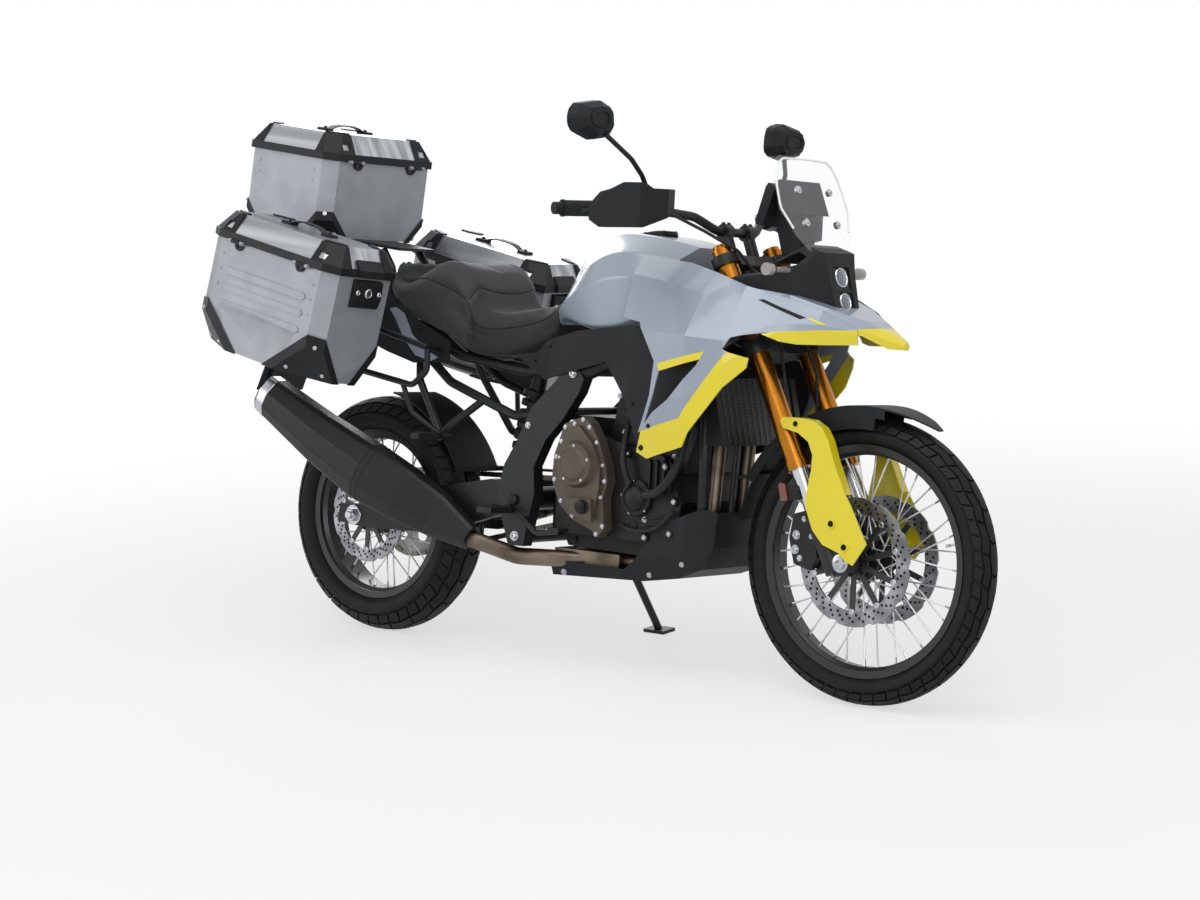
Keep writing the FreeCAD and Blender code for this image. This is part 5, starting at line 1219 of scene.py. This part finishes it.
class MOTORCYCLE_OT_engine(bpy.types.Operator):
    """Cover screws, filler, plugs, ribs and water hoses of the engine and its radiator"""
    bl_idname = "motorcycle.engine"
    bl_label = "Engine fittings"

    def execute(self, context):
        screws, plugs, ribs, hose = Shape(), Shape(), Shape(), Shape()
        for x, z in COVER_RIGHT:
            away = Vector((812 - x, 500 - z))
            spot = Vector((x, z)) + away.normalized() * 9.0
            place, _ = touch("engine_covers", (spot.x, -OUTSIDE, spot.y), ACROSS)
            screws.bolt(place, -ACROSS, 4.2)
        for i in range(8):
            a = math.radians(45 * i + 10)
            place, _ = touch("engine_covers", on_circle(GENERATOR, a, OUTSIDE), -ACROSS)
            screws.bolt(place, ACROSS, 4.2)
        for i in range(5):
            a = math.radians(72 * i + 18)
            place, _ = touch("engine_covers", on_circle(CLUTCH_PLATE, a, -OUTSIDE), ACROSS)
            screws.bolt(place, -ACROSS, 2.8)
        for x, z in ((900, 610), (1060, 560), (920, 770), (1100, 760), (1130, 700), (880, 700), (1000, 400)):
            for side in (1, -1):
                place, _ = touch("engine", (x, side * OUTSIDE, z), ACROSS * -side)
                screws.bolt(place, ACROSS * side, 5.2)
        cap, _ = touch("engine_covers", (842, -OUTSIDE, 420), ACROSS)
        plugs.turn([(-1, 19), (3, 19), (4, 17), (12, 16), (13, 14)], cap, -ACROSS, 20)
        plugs.prism([(830, 417), (854, 417), (854, 424), (830, 424)], cap.y - 17.0, cap.y - 11.0)
        sight, _ = touch("engine", (960, -OUTSIDE, 380), ACROSS)
        plugs.turn([(-1, 17), (2, 17), (3, 15), (3, 11), (1, 10)], sight, -ACROSS, 20)
        for k in range(7):
            z = 606.0 + 19.0 * k
            shift = 0.22 * (z - 606.0)
            for side in (1, -1):
                ribs.prism([(876 + shift, z), (1082 + shift, z - 20), (1082 + shift, z - 16),
                            (876 + shift, z + 4)],
                           side * 116.0, side * 123.0)
        for side in (1, -1):
            route = curve_through([(1190, side * 161, 742), (1150, side * 150, 742), (1110, side * 128, 756),
                                   (1080, side * 104, 770)], 6.0)
            hose.sweep(route, 12.0, 16)
            for near in (2, -3):
                way = route[near + 1] - route[near]
                hose.turn([(-6, 13.4), (6, 13.4)], route[near], way, 20)
        self.pump(screws, plugs, hose, ribs)
        screws.piece("engine_screws", "engine", "bolt_steel", slot="bright_steel")
        plugs.piece("oil_filler_and_window", "engine_covers", "engine_black", slot="engine_black")
        ribs.piece("cylinder_ribs", "engine", "engine_black", bevel=0.8)
        hose.piece("water_hoses", "radiator", "hose_rubber", slot="hose_rubber")
        self.radiator()
        return {"FINISHED"}

    def pump(self, screws, plugs, hose, ribs):
        """Water pump, oil filter, case ribs and the pipes on the engine's right side."""
        face = -ENGINE_FACE
        middle = Vector((975, face, 452))
        plugs.turn([(-1, 46), (10, 46), (14, 42), (14, 34), (22, 30), (30, 20), (34, 12)], middle, -ACROSS,
                   28)
        for a in turns(5):
            screws.bolt(middle + Vector((41 * math.cos(a + 0.5), -10, 41 * math.sin(a + 0.5))), -ACROSS, 3.6)
        plugs.turn([(-10, 30), (40, 30), (46, 27), (54, 34), (60, 33), (62, 26)], (1085, -60, 410),
                   (1, 0, -0.1), 28)
        for z in (368, 384, 400):
            ribs.prism([(1000, z), (1078, z + 12), (1078, z + 17), (1000, z + 5)], face - 7.0, face + 2.0)
        for x in (1010, 1032, 1054, 1076):
            ribs.prism([(x, 470), (x + 5, 470), (x + 5, 545), (x, 552)], face - 8.0, face + 2.0)
        for x, z in ((1006, 356), (1082, 372), (1092, 452), (1060, 536), (940, 560)):
            plugs.turn([(-2, 12), (8, 11), (9, 9)], (x, face, z), -ACROSS, 16)
            screws.bolt((x, face - 8.0, z), -ACROSS, 4.4)
        for route, r in (
                (((1004, -170, 462), (1060, -176, 478), (1104, -166, 540), (1112, -148, 620),
                  (1100, -124, 668)), 11.0),
                (((960, -168, 486), (942, -172, 540), (930, -150, 600), (920, -124, 640)), 8.0),
                (((930, -152, 380), (986, -166, 372), (1046, -164, 384), (1096, -158, 430)), 4.0)):
            line = curve_through(route, 6.0)
            hose.sweep(line, r, 14)
            for near in (1, len(line) - 3):
                hose.turn([(-5, r + 1.4), (5, r + 1.4)], line[near], line[near + 1] - line[near], 18)

    def radiator(self):
        """Fins on the core's front face."""
        fins = Shape()
        for k in range(30):
            t = (k + 0.5) / 30
            x, z = 1240 - 40 * t, 600 + 162 * t
            fins.prism([(x - 1, z), (x + 2.2, z + 0.5), (x + 2.2, z + 1.5), (x - 1, z + 1.2)], -147, 147)
        for k in range(13):
            y = -138 + 23 * k
            fins.prism([(1239, 604), (1241, 604.5), (1203, 759.5), (1200, 758)], y - 1.2, y + 1.2)
        fins.piece("radiator_fins", "radiator", "fin_metal", slot="black_metal")


class MOTORCYCLE_OT_bolts(bpy.types.Operator):
    """Bolts of the frame, bodywork, guards and calipers, on both sides"""
    bl_idname = "motorcycle.bolts"
    bl_label = "Bolts"

    def execute(self, context):
        shapes = {}
        for x, z, node, r in FRAME_BOLTS + SIDE_BOLTS:
            for side in (1, -1):
                try:
                    place, normal = touch(node, (x, side * OUTSIDE, z), ACROSS * -side)
                except RuntimeError:
                    if side > 0:
                        continue
                    raise
                shape = shapes.setdefault(node, Shape())
                shape.bolt(place, normal, r)
        for node, shape in shapes.items():
            bright = node in ("front_calipers", "skid_plate", "main_frame")
            shape.piece(node + "_bolts", node, "bolt_steel" if bright else "dark_bolt")
        return {"FINISHED"}


class MOTORCYCLE_OT_cockpit(bpy.types.Operator):
    """Ribbed grips, mirror glass, dash screen, a painted highlight on the screen edge, filler cap and clamp bolts
    """
    bl_idname = "motorcycle.cockpit"
    bl_label = "Cockpit"

    def execute(self, context):
        self.grips()
        self.mirrors()
        self.dash()
        self.screen()
        self.filler()
        return {"FINISHED"}

    def grips(self):
        grips, bolts = Shape(), Shape()
        for (side, outer), (_, inner) in zip(both((940, 455, 1154)), both((984, 345, 1158.5))):
            outer, inner = Vector(outer), Vector(inner)
            long = (inner - outer).length
            rows = [(1.0, 17.0), (1.0, 21.0), (5.0, 21.0), (6.0, 18.6)]
            at = 8.0
            while at < long - 12.0:
                rows += [(at, 18.4), (at + 0.8, 19.4), (at + 3.0, 19.4), (at + 3.8, 18.4)]
                at += 5.0
            rows += [(long - 7.0, 19.0), (long - 6.0, 22.5), (long - 1.0, 22.5), (long - 1.0, 17.0)]
            grips.turn(rows, outer, inner - outer, 24)
            for y in (34, 56):
                bolts.bolt((1128, side * y, 1138.5), UP, 4.5)
        for side, place in both((1048, 262, 1206)):
            bolts.turn([(-1, 21), (3, 21), (4, 19.5)], place, UP, 24)
            for a in turns(4):
                spot = Vector(place) + Vector((15 * math.cos(a), 15 * math.sin(a), 4.0))
                bolts.bolt(spot, UP, 2.2)
        grips.piece("grips", "hand_controls", "grip_rubber")
        bolts.piece("clamp_bolts", "handlebar", "dark_bolt")

    def mirrors(self):
        face = ((331, 1353), (344, 1335), (400, 1326), (462, 1342), (474, 1372), (456, 1399), (380, 1411),
                (339, 1397))
        behind = Matrix(((0, 0, -1, 962), (1, 0, 0, 0), (0, 1, 0, 0), (0, 0, 0, 1)))
        glass, rims, relief = Shape(), Shape(), Shape()
        for side in (1, -1):
            outline = [(side * y, z) for y, z in face]
            smooth = [tuple(p)[:2] for p in curve_through([(a, b, 0) for a, b in outline], 8.0, True)]
            glass.slab(smooth, -0.5, 1.4, 0.6, behind)
            rims.sweep([(962.4, y, z) for y, z in smooth], 2.6, 8, True)
            for share, proud in ((0.72, 2.2), (0.46, 3.4)):
                ring = []
                for y, z in smooth:
                    my, mz = side * 406 + (y - side * 406) * share, 1370 + (z - 1370) * share
                    place, _ = touch("mirrors", (1100, my, mz), (-1, 0, 0))
                    ring.append(place + Vector((proud - 2.0, 0, 0)))
                relief.sweep(ring, 2.2, 6, True)
        glass.piece("mirror_glass", "mirrors", "mirror_glass")
        rims.piece("mirror_rims", "mirrors", "black_plastic")
        relief.piece("mirror_relief", "mirrors", "black_plastic")

    def dash(self):
        """Screen on the face of the housing that looks back at the rider."""
        low, high = Vector((1230, 0, 1142)), Vector((1262, 0, 1242))
        up = (high - low).normalized()
        out = Vector((-up.z, 0, up.x))
        plane = Matrix.Identity(4)
        for i, way in enumerate((ACROSS, up, out)):
            plane.col[i] = way.to_4d()
            plane.col[i][3] = 0.0
        plane.col[3] = ((low + high) / 2).to_4d()
        glass, bezel = Shape(), Shape()
        glass.slab([(-55, -40), (55, -40), (60, -34), (60, 34), (55, 40), (-55, 40), (-60, 34), (-60, -34)],
                   -1.0, 2.0, 1.2, plane)
        for a, b in (((-63, -44), (63, -44)), ((63, -44), (63, 44)), ((63, 44), (-63, 44)),
                     ((-63, 44), (-63, -44))):
            bezel.sweep([plane @ Vector((*a, 1)), plane @ Vector((*b, 1))], 2.6, 8)
        glass.piece("dash_screen", "instrument_panel", "dash_glass")
        bezel.piece("dash_bezel", "instrument_panel", "black_plastic")

    def screen(self):
        """A near-white tube along the windscreen's polished edge as its painted highlight, and the screen's
        fasteners.
        """
        half = ((0, 1302), (90, 1300), (113, 1289), (129, 1262), (138, 1232), (143, 1190), (142, 1177),
                (118, 1132))
        outline = [(-y, z) for y, z in reversed(half)] + list(half[1:])
        edge = []
        for y, z in run_along(outline, 10.0):
            place, _ = touch("windscreen", (1700, y, z), (-1, 0, 0))
            edge.append(place + Vector((-2.0, 0, 0)))
        rim, discs = Shape(), Shape()
        # A near-white tube along the clear screen's edge: a painted highlight of the polished edge.
        rim.sweep(edge, 2.6, 8)
        for side in (1, -1):
            for y, z in ((66, 1226), (66, 1148)):
                place, normal = touch("windscreen", (1700, side * y, z), (-1, 0, 0))
                discs.turn([(-7, 9), (0, 10), (2, 10), (3, 8.5)], place, normal, 20)
                discs.bolt(place + normal * 3, normal, 3.6)
        rim.piece("screen_edge_highlight", "windscreen", "screen_edge_highlight", slot="clear_screen")
        discs.piece("screen_fasteners", "windscreen", "bolt_steel", slot="black_plastic")

    def filler(self):
        place, _ = touch("fuel_tank", (880, 0, 1400), -UP)
        cap, ring = Shape(), Shape()
        up = Vector((-0.15, 0, 1)).normalized()
        cap.turn([(-6, 40), (3, 40), (6, 37), (7, 24), (8.5, 22), (8.5, 8), (7, 6)], place, up, 40)
        ring.turn([(-8, 54), (1, 54), (3, 52), (3, 43), (1, 41.5), (1, 40.5)], place, up, 40)
        for a in turns(6):
            spot = facing(place, up) @ Vector((48 * math.cos(a), 48 * math.sin(a), 2.8))
            ring.bolt(spot, up, 2.6)
        cap.piece("filler_cap", "fuel_tank", "black_metal", slot="black_metal")
        ring.piece("filler_ring", "fuel_tank", "dark_bolt", slot="black_metal")


class MOTORCYCLE_OT_lamps(bpy.types.Operator):
    """Headlamp lenses and rings, tail lamp, side reflectors and rear reflector"""
    bl_idname = "motorcycle.lamps"
    bl_label = "Lamps"

    def execute(self, context):
        rings, lenses = Shape(), Shape()
        for z, r in ((1020, 21.0), (962, 18.5)):
            for side in (1, -1):
                place, normal = touch("headlights", (1700, side * 1.0, z), (-1, 0, 0))
            place.y = 0.0
            rings.turn([(-3, r + 4), (1.5, r + 4), (3.0, r + 2.6), (2.6, r + 1), (0.4, r - 0.5)], place,
                       normal, 36)
            lenses.turn([(-2, r), (1.2, r), (3.4, r * 0.9), (5.2, r * 0.66), (6.2, r * 0.36),
                         (6.4, r * 0.08)],
                        place, normal, 36)
        rings.piece("headlamp_rings", "headlights", "lamp_ring", slot="bright_steel")
        lenses.piece("headlamp_lenses", "headlights", "lamp_bright", slot="lamp_lens")
        tail = Shape()
        behind = Matrix(((0, 0, -1, -153.5), (1, 0, 0, 0), (0, 1, 0, 0), (0, 0, 0, 1)))
        tail.slab([(-46, 850), (46, 850), (48, 853), (48, 869), (44, 874), (-44, 874), (-48, 869),
                   (-48, 853)],
                  -1.0, 6.0, 3.0, behind)
        tail.piece("tail_lamp_lens", "rear_fender", "tail_red", bevel=0.8, slot="amber_lens")
        reflectors, brackets = Shape(), Shape()
        for side in (1, -1):
            near, far = side * 126.0, side * 129.5
            brackets.prism([(1392, 481), (1450, 488), (1440, 520), (1388, 523)], near, far)
            outline = [(1395, 482), (1412, 482), (1416, 487), (1406, 522), (1401, 525), (1390, 525),
                       (1386, 520)]
            reflectors.slab([(x, side * z) for x, z in outline], 129.0, 134.5, 2.0,
                            Matrix(((1, 0, 0, 0), (0, 0, side, 0), (0, side, 0, 0), (0, 0, 0, 1))))
        brackets.piece("reflector_brackets", "fork_legs", "dark_bolt", slot="black_metal")
        reflectors.piece("fork_reflectors", "fork_legs", "amber_bright", slot="amber_lens")
        rear = Shape()
        # The rear reflector takes the tail lamp's glowing lens finish, so it glows though it is no lamp: painted
        # light.
        place, normal = touch("rear_fender", (-700, 0, 672), (1, 0, 0))
        rear.slab([(-42, -12), (42, -12), (42, 12), (-42, 12)], -1.0, 5.0, 2.0, facing(place, normal))
        rear.piece("rear_reflector", "rear_fender", "tail_red", slot="amber_lens")
        return {"FINISHED"}


CASES = (
    # name, side, middle of the seam, turns about X Y Z, length, width, height, corner legs, corner piece
    ("right_case", -1, (-7.0, -366.0, 1010.0), (-2.4, 11.4, -2.0), 480.0, 235.0, 282.0, (145, 78, 115),
     (88, 60)),
    ("left_case", 1, (50.0, 356.0, 996.0), (2.4, 11.4, 2.0), 480.0, 235.0, 282.0, (145, 78, 115), (88, 60)),
    ("top_case", 0, (-240.0, 0.0, 1291.0), (0.0, 6.5, 0.0), 330.0, 417.0, 207.0, (70, 75, 80), (62, 88)),
)
LID_TOP = 72.0
LID_SLOPE = 30.0


class MOTORCYCLE_OT_cases(bpy.types.Operator):
    """Luggage fittings: lashing eyes, locks, cap bolts, rivets, top corners and carry straps"""
    bl_idname = "motorcycle.cases"
    bl_label = "Luggage fittings"

    def execute(self, context):
        for name, side, at, turned, long, wide, tall, legs, top in CASES:
            axes = Matrix.Translation(at)
            for axis, angle in reversed(list(zip("XYZ", turned))):
                axes = axes @ Matrix.Rotation(math.radians(angle), 4, axis)
            self.fit(name, side, axes, long / 2, wide / 2, tall, legs, top)
        return {"FINISHED"}

    def meet(self, node, axes, start, way):
        """Touch a node along a line that is given in the case's own axes."""
        place, normal = touch(node, axes @ Vector(start), axes.to_3x3() @ Vector(way))
        back = axes.inverted()
        return back @ place, (back.to_3x3() @ normal).normalized()

    def fit(self, name, side, axes, a, b, tall, legs, top):
        eyes, bolts, rivets, trim = Shape(axes), Shape(axes), Shape(axes), Shape(axes)
        self.eyes(eyes, a, b)
        for sx in (1, -1):
            for sy in (1, -1):
                tip = Vector((sx * a, sy * b, -tall))
                reach = [Vector((-sx * legs[0], 0, 0)), Vector((0, -sy * legs[1], 0)),
                         Vector((0, 0, legs[2]))]
                out = Vector((sx / legs[0], sy / legs[1], -1 / legs[2])).normalized()
                for k in range(3):
                    share = [0.74 if i == k else 0.13 for i in range(3)]
                    spot = tip + sum((leg * s for leg, s in zip(reach, share)), Vector())
                    place, normal = self.meet("case_corners", axes, spot + out * 60, -out)
                    bolts.bolt(place, normal, 4.0)
                self.top_corner(trim, sx, sy, a, b, top)
                for z in (-40, -80, -120) if tall > 250 else (-30, -60):
                    wall = (sx * (a - 62), sy * (b + 60), z)
                    place, normal = self.meet(name, axes, wall, (0, -sy, 0))
                    rivets.turn([(-1, 4), (0.8, 4), (1.8, 2.6)], place, normal, 12)
        lid = name + "_lid"
        eyes.piece(name + "_lashing_eyes", name, "case_plastic", bevel=0.8, slot="case_plastic")
        bolts.piece(name + "_cap_bolts", name, "bolt_steel", slot="bright_steel")
        rivets.piece(name + "_rivets", name, "case_aluminium")
        trim.piece(lid + "_corner_tops", lid, "case_plastic", bevel=0.9)
        self.strap(axes, lid, a, b)
        self.lock(name, side, axes, a)

    def eyes(self, shape, a, b):
        """Half-round lugs with a hole, under the lid's frame on the long sides."""
        long_x = a > b
        half, reach = (a, b) if long_x else (b, a)
        for along in (-0.5 * half, 0.5 * half):
            for side in (1, -1):
                self.lug(shape, along, side, reach, long_x)

    def lug(self, shape, along, side, reach, long_x):
        outer, hole = [], []
        for k in range(25):
            t = 2 * math.pi * k / 24
            if k == 24:
                break
            c, s = math.cos(t), math.sin(t)
            outer.append((along + 18 * c, -1.0 if s > 0 else -1.0 + 20 * s))
            hole.append((along + 6 * c, -8.5 + 5 * s))
        rings = []
        for ring, h in ((outer, -0.5), (outer, 5.5), (hole, 5.5), (hole, -0.5)):
            v = side * (reach + h)
            rings.append([(u, v, z) if long_x else (v, u, z) for u, z in ring])
        shape.bridge(rings, along=True)

    def top_corner(self, shape, sx, sy, a, b, top):
        """The corner piece's flange on the lid's flat top."""
        ta, tb = a - LID_SLOPE, b - LID_SLOPE
        cut = (45.0, 26.0) if a > b else (34.0, 33.0)
        px, py = a - top[0], b - top[1]
        wide = 17.0
        outline = [(px, tb + 1), (ta - cut[0], tb + 1), (ta + 1, tb - cut[1]), (ta + 1, py), (ta - wide, py),
                   (ta - wide, tb - cut[1] - 8), (ta - cut[0] - 10, tb - wide), (px, tb - wide)]
        shape.bridge([[(sx * x, sy * y, z) for x, y in outline] for z in (LID_TOP - 1.0, LID_TOP + 3.5)])

    def strap(self, axes, lid, a, b):
        """Low carry strap on the lid's top between two anchors."""
        strap, anchors = Shape(axes), Shape(axes)
        half = 78.0
        long_x = a > b
        rows = []
        for x, z in ((-half, 2.5), (-half + 16, 5.0), (-half + 34, 13.0), (-20, 17.0), (20, 17.0),
                     (half - 34, 13.0), (half - 16, 5.0), (half, 2.5)):
            ring = []
            for w, h in ((-11, -1.6), (11, -1.6), (12.5, 0), (11, 1.6), (-11, 1.6), (-12.5, 0)):
                ring.append((x, w, LID_TOP + z + h) if long_x else (w, x, LID_TOP + z + h))
            rows.append(ring)
        strap.bridge(rows)
        for end in (1, -1):
            x = end * half
            outline = [(x - 16, -17), (x + 16, -17), (x + 16, 17), (x - 16, 17)]
            if not long_x:
                outline = [(v, u) for u, v in outline]
            anchors.slab(outline, LID_TOP - 1.0, LID_TOP + 7.0, 3.0, Matrix())
            spot = (x, 0, LID_TOP + 7.0) if long_x else (0, x, LID_TOP + 7.0)
            anchors.bolt(spot, UP, 4.5)
        strap.piece(lid + "_carry_strap", lid, "hose_rubber", slot="hose_rubber")
        anchors.piece(lid + "_strap_anchors", lid, "case_plastic", bevel=0.8)

    def lock(self, name, side, axes, a):
        """Lock barrel and pivot pins on the latch, or a hasp on the top case's rear; a thin near-black slot on the
        lock is painted shade for the key opening.
        """
        barrel, keyway_shade = Shape(axes), Shape(axes)
        if side:
            for y, r in ((side * -7, 11.0), (side * -45, 5.0), (side * 31, 5.0)):
                place, normal = self.meet("case_corners", axes, (a + 90, y, -38), (-1, 0, 0))
                barrel.turn([(-1, r + 2), (1.5, r + 2), (3, r), (4, r), (4, r * 0.75), (3, r * 0.7)], place,
                            normal, 24)
                if r > 8:
                    # A thin near-black slot on the barrel: painted shade for the key opening.
                    to = facing(place + normal * 3.0, normal)
                    keyway_shade.prism([(-1.2, -5), (1.2, -5), (1.2, 5), (-1.2, 5)], 0.0, 0.6, to)
        else:
            plate = [(-26, -52), (26, -52), (26, -4), (-26, -4)]
            back = Matrix(((0, 0, -1, -a), (1, 0, 0, 0), (0, 1, 0, 0), (0, 0, 0, 1)))
            barrel.slab(plate, -1.0, 9.0, 5.0, back)
            barrel.turn([(8, 12), (11, 12), (12, 10), (12, 8), (11, 7.5)], (-a, 0, -34), (-1, 0, 0), 24)
            # A thin near-black slot on the hasp: painted shade for the key opening.
            keyway_shade.prism([(-1.2, -39), (1.2, -39), (1.2, -29), (-1.2, -29)], 10.5, 11.4, back)
        barrel.piece(name + "_lock", name, "bolt_steel" if side else "case_plastic", bevel=0.5,
                     slot="bright_steel" if side else "case_plastic")
        keyway_shade.piece(name + "_keyway", name, "painted_hole_shade", slot="case_plastic")


class MOTORCYCLE_OT_trim(bpy.types.Operator):
    """Silencer bands and outlet, tail strips, beak slashes and peg rubbers"""
    bl_idname = "motorcycle.trim"
    bl_label = "Trim"

    def execute(self, context):
        self.silencer()
        strips = Shape()
        for side in (1, -1):
            laid(strips, "tail_covers", ((90, 885), (116, 889), (153, 874), (192, 818), (252, 779),
                                         (290, 763),
                                         (264, 753), (207, 765), (157, 808), (117, 859)), 1.6, side)
        strips.piece("tail_strips", "tail_covers", "grey_paint", slot="grey_paint")
        dark, bright = Shape(), Shape()
        for side in (1, -1):
            laid(dark, "shroud_panels", ((1338, 958), (1350, 960), (1452, 921), (1440, 917)), 0.5, side)
            laid(bright, "shroud_panels", ((1454, 919), (1462, 920), (1496, 908), (1484, 906)), 0.5, side)
        dark.piece("beak_dark_slash", "beak", "black_plastic", slot="black_plastic")
        bright.piece("beak_bright_slash", "beak", "yellow_paint", slot="yellow_paint")
        self.pegs()
        return {"FINISHED"}

    def silencer(self):
        way = Vector((-202, -6, 106)).normalized()
        end = Vector((-262, -222, 636))
        band, cover, mouth = Shape(), Shape(), Shape()
        girdle(band, "silencer", [(end - way * d, p) for d, p in ((34, -0.5), (32, 1.6), (6, 1.6),
                                                                  (4, -0.5))],
               way, 120.0)
        for d in (20.0, 2.0):
            mid = Vector((110, -208, 450)) - way * d
            girdle(cover, "silencer", [(mid + way * w, p) for w, p in ((-2.5, -0.5), (-1.5, 1.2), (1.5, 1.2),
                                                                       (2.5, -0.5))], way, 160.0)
        mouth.turn([(-10, 30), (2, 30), (12, 28), (13, 25), (12, 23), (-2, 21), (-3, 4)], end, way, 28)
        for a in turns(4):
            spot = facing(end, way) @ Vector((38 * math.cos(a + 0.8), 38 * math.sin(a + 0.8), 0.0))
            mouth.bolt(spot, way, 3.2)
        band.piece("silencer_end_band", "silencer", "bright_steel", slot="bright_steel")
        cover.piece("silencer_seams", "silencer", "silencer_black")
        mouth.piece("silencer_mouth", "silencer", "exhaust_steel", slot="exhaust_steel")

    def pegs(self):
        """Toothed rubbers on the rider's and passenger's pegs."""
        rubbers = Shape()
        for side in (1, -1):
            for k in range(9):
                y = side * (210 + 8.5 * k)
                rubbers.prism([(567, 399), (613, 399), (611, 404), (605, 401), (575, 401), (569, 404)],
                              y - 1.8, y + 1.8)
            for k in range(8):
                y = side * (197 + 9 * k)
                rubbers.prism([(313, 567), (339, 567), (337, 570), (315, 570)], y - 2.4, y + 2.4)
        rubbers.piece("peg_rubbers", "footpegs", "grip_rubber")


class MOTORCYCLE_OT_stage(bpy.types.Operator):
    """Pale floor, soft studio light and the camera"""
    bl_idname = "motorcycle.stage"
    bl_label = "Stage"

    def execute(self, context):
        s = context.scene.motorcycle_stage
        self.floor(s.floor_radius)
        self.softbox("Overhead softbox", (0.6, -1.2, 4.6), (0.0, 0.0, 0.4), 4.2, s.key_power)
        self.softbox("Right softbox", (3.6, -4.2, 2.4), (0.0, 0.0, 0.7), 2.6, s.side_power)
        self.softbox("Left softbox", (-4.0, 3.6, 2.6), (0.0, 0.0, 0.7), 2.6, s.side_power)
        self.softbox("Rear softbox", (-4.2, -3.8, 2.2), (0.0, 0.0, 0.7), 2.2, s.side_power * 0.7)
        self.world(context.scene)
        self.camera(context.scene, s)
        context.scene.view_settings.view_transform = "Standard"
        return {"FINISHED"}

    def floor(self, radius):
        mesh = bpy.data.meshes.new("Floor")
        bm = bmesh.new()
        bmesh.ops.create_circle(bm, cap_ends=True, segments=96, radius=radius)
        bm.to_mesh(mesh)
        bm.free()
        floor = bpy.data.objects.new("Floor", mesh)
        bpy.context.scene.collection.objects.link(floor)
        finish = Finish("Pale floor", {"Base Color": (0.86, 0.86, 0.86, 1.0), "Roughness": 0.9,
                                       "Specular IOR Level": 0.1})
        tree = finish.tree
        from_middle = finish.axis_distance((0.0, 0.0, 0.0), (0.0, 0.0, 1.0))
        glow = tree.nodes.new("ShaderNodeEmission")
        glow.inputs["Strength"].default_value = 1.0
        mix = tree.nodes.new("ShaderNodeMixShader")
        finish.feed(mix, "Fac", 0.62 + from_middle.step(1.5, 4.0) * 0.38)
        tree.links.new(finish.shader.outputs["BSDF"], mix.inputs[1])
        tree.links.new(glow.outputs["Emission"], mix.inputs[2])
        tree.links.new(mix.outputs["Shader"], tree.nodes["Material Output"].inputs["Surface"])
        mesh.materials.append(finish.material)

    def softbox(self, name, location, target, size, power):
        light = bpy.data.lights.new(name, "AREA")
        light.shape = "SQUARE"
        light.size = size
        light.energy = power
        lamp = bpy.data.objects.new(name, light)
        lamp.location = location
        lamp.rotation_euler = (Vector(target) - Vector(location)).to_track_quat("-Z", "Y").to_euler()
        bpy.context.scene.collection.objects.link(lamp)

    def world(self, scene):
        """White to the camera, to reflections and through glass; a soft grey as light."""
        world = bpy.data.worlds.new("Studio")
        world.use_nodes = True
        tree = world.node_tree
        back = tree.nodes["Background"]
        back.inputs["Color"].default_value = (1.0, 1.0, 1.0, 1.0)
        rays = tree.nodes.new("ShaderNodeLightPath")
        seen = None
        for ray in ("Is Camera Ray", "Is Glossy Ray", "Is Transmission Ray"):
            if seen is None:
                seen = rays.outputs[ray]
                continue
            either = tree.nodes.new("ShaderNodeMath")
            either.operation = "MAXIMUM"
            tree.links.new(seen, either.inputs[0])
            tree.links.new(rays.outputs[ray], either.inputs[1])
            seen = either.outputs[0]
        strength = tree.nodes.new("ShaderNodeMapRange")
        strength.inputs["To Min"].default_value = 0.3
        strength.inputs["To Max"].default_value = 1.0
        tree.links.new(seen, strength.inputs["Value"])
        tree.links.new(strength.outputs["Result"], back.inputs["Strength"])
        scene.world = world

    def camera(self, scene, s):
        data = bpy.data.cameras.new("Camera")
        data.lens = s.lens
        data.sensor_width = 36.0
        camera = bpy.data.objects.new("Camera", data)
        turn = Vector(s.camera_forward).to_track_quat("-Z", "Y").to_matrix()
        turn = turn @ Matrix.Rotation(s.camera_roll, 3, "Z")
        camera.matrix_world = Matrix.Translation(s.camera_location) @ turn.to_4x4()
        scene.collection.objects.link(camera)
        scene.camera = camera


class MOTORCYCLE_PT_panel(bpy.types.Panel):
    """Lists the sizes, colours and steps"""
    bl_idname = "MOTORCYCLE_PT_panel"
    bl_label = "Adventure motorcycle"
    bl_space_type = "VIEW_3D"
    bl_region_type = "UI"
    bl_category = "Motorcycle"

    def draw(self, context):
        for group in GROUPS:
            settings = getattr(context.scene, group)
            box = self.layout.box()
            for name in settings.__annotations__:
                box.prop(settings, name)
        for step in STEPS:
            self.layout.operator(step.bl_idname)


GROUPS = {
    "motorcycle_stage": StageSettings, "motorcycle_finish": FinishSettings, "motorcycle_tread": TreadSettings,
    "motorcycle_seat": SeatSettings,
}
STEPS = (
    MOTORCYCLE_OT_stage, MOTORCYCLE_OT_finishes, MOTORCYCLE_OT_seat, MOTORCYCLE_OT_tyres,
    MOTORCYCLE_OT_wheels,
    MOTORCYCLE_OT_chain, MOTORCYCLE_OT_engine, MOTORCYCLE_OT_bolts, MOTORCYCLE_OT_cockpit,
    MOTORCYCLE_OT_lamps,
    MOTORCYCLE_OT_cases, MOTORCYCLE_OT_trim,
)


def register():
    for name, group in GROUPS.items():
        bpy.utils.register_class(group)
        setattr(bpy.types.Scene, name, PointerProperty(type=group))
    for step in STEPS:
        bpy.utils.register_class(step)
    bpy.utils.register_class(MOTORCYCLE_PT_panel)


def unregister():
    bpy.utils.unregister_class(MOTORCYCLE_PT_panel)
    for step in reversed(STEPS):
        bpy.utils.unregister_class(step)
    for name, group in reversed(GROUPS.items()):
        delattr(bpy.types.Scene, name)
        bpy.utils.unregister_class(group)


def main():
    register()
    for step in STEPS:
        area, name = step.bl_idname.split(".")
        getattr(getattr(bpy.ops, area), name)()


if __name__ == "__main__":
    main()
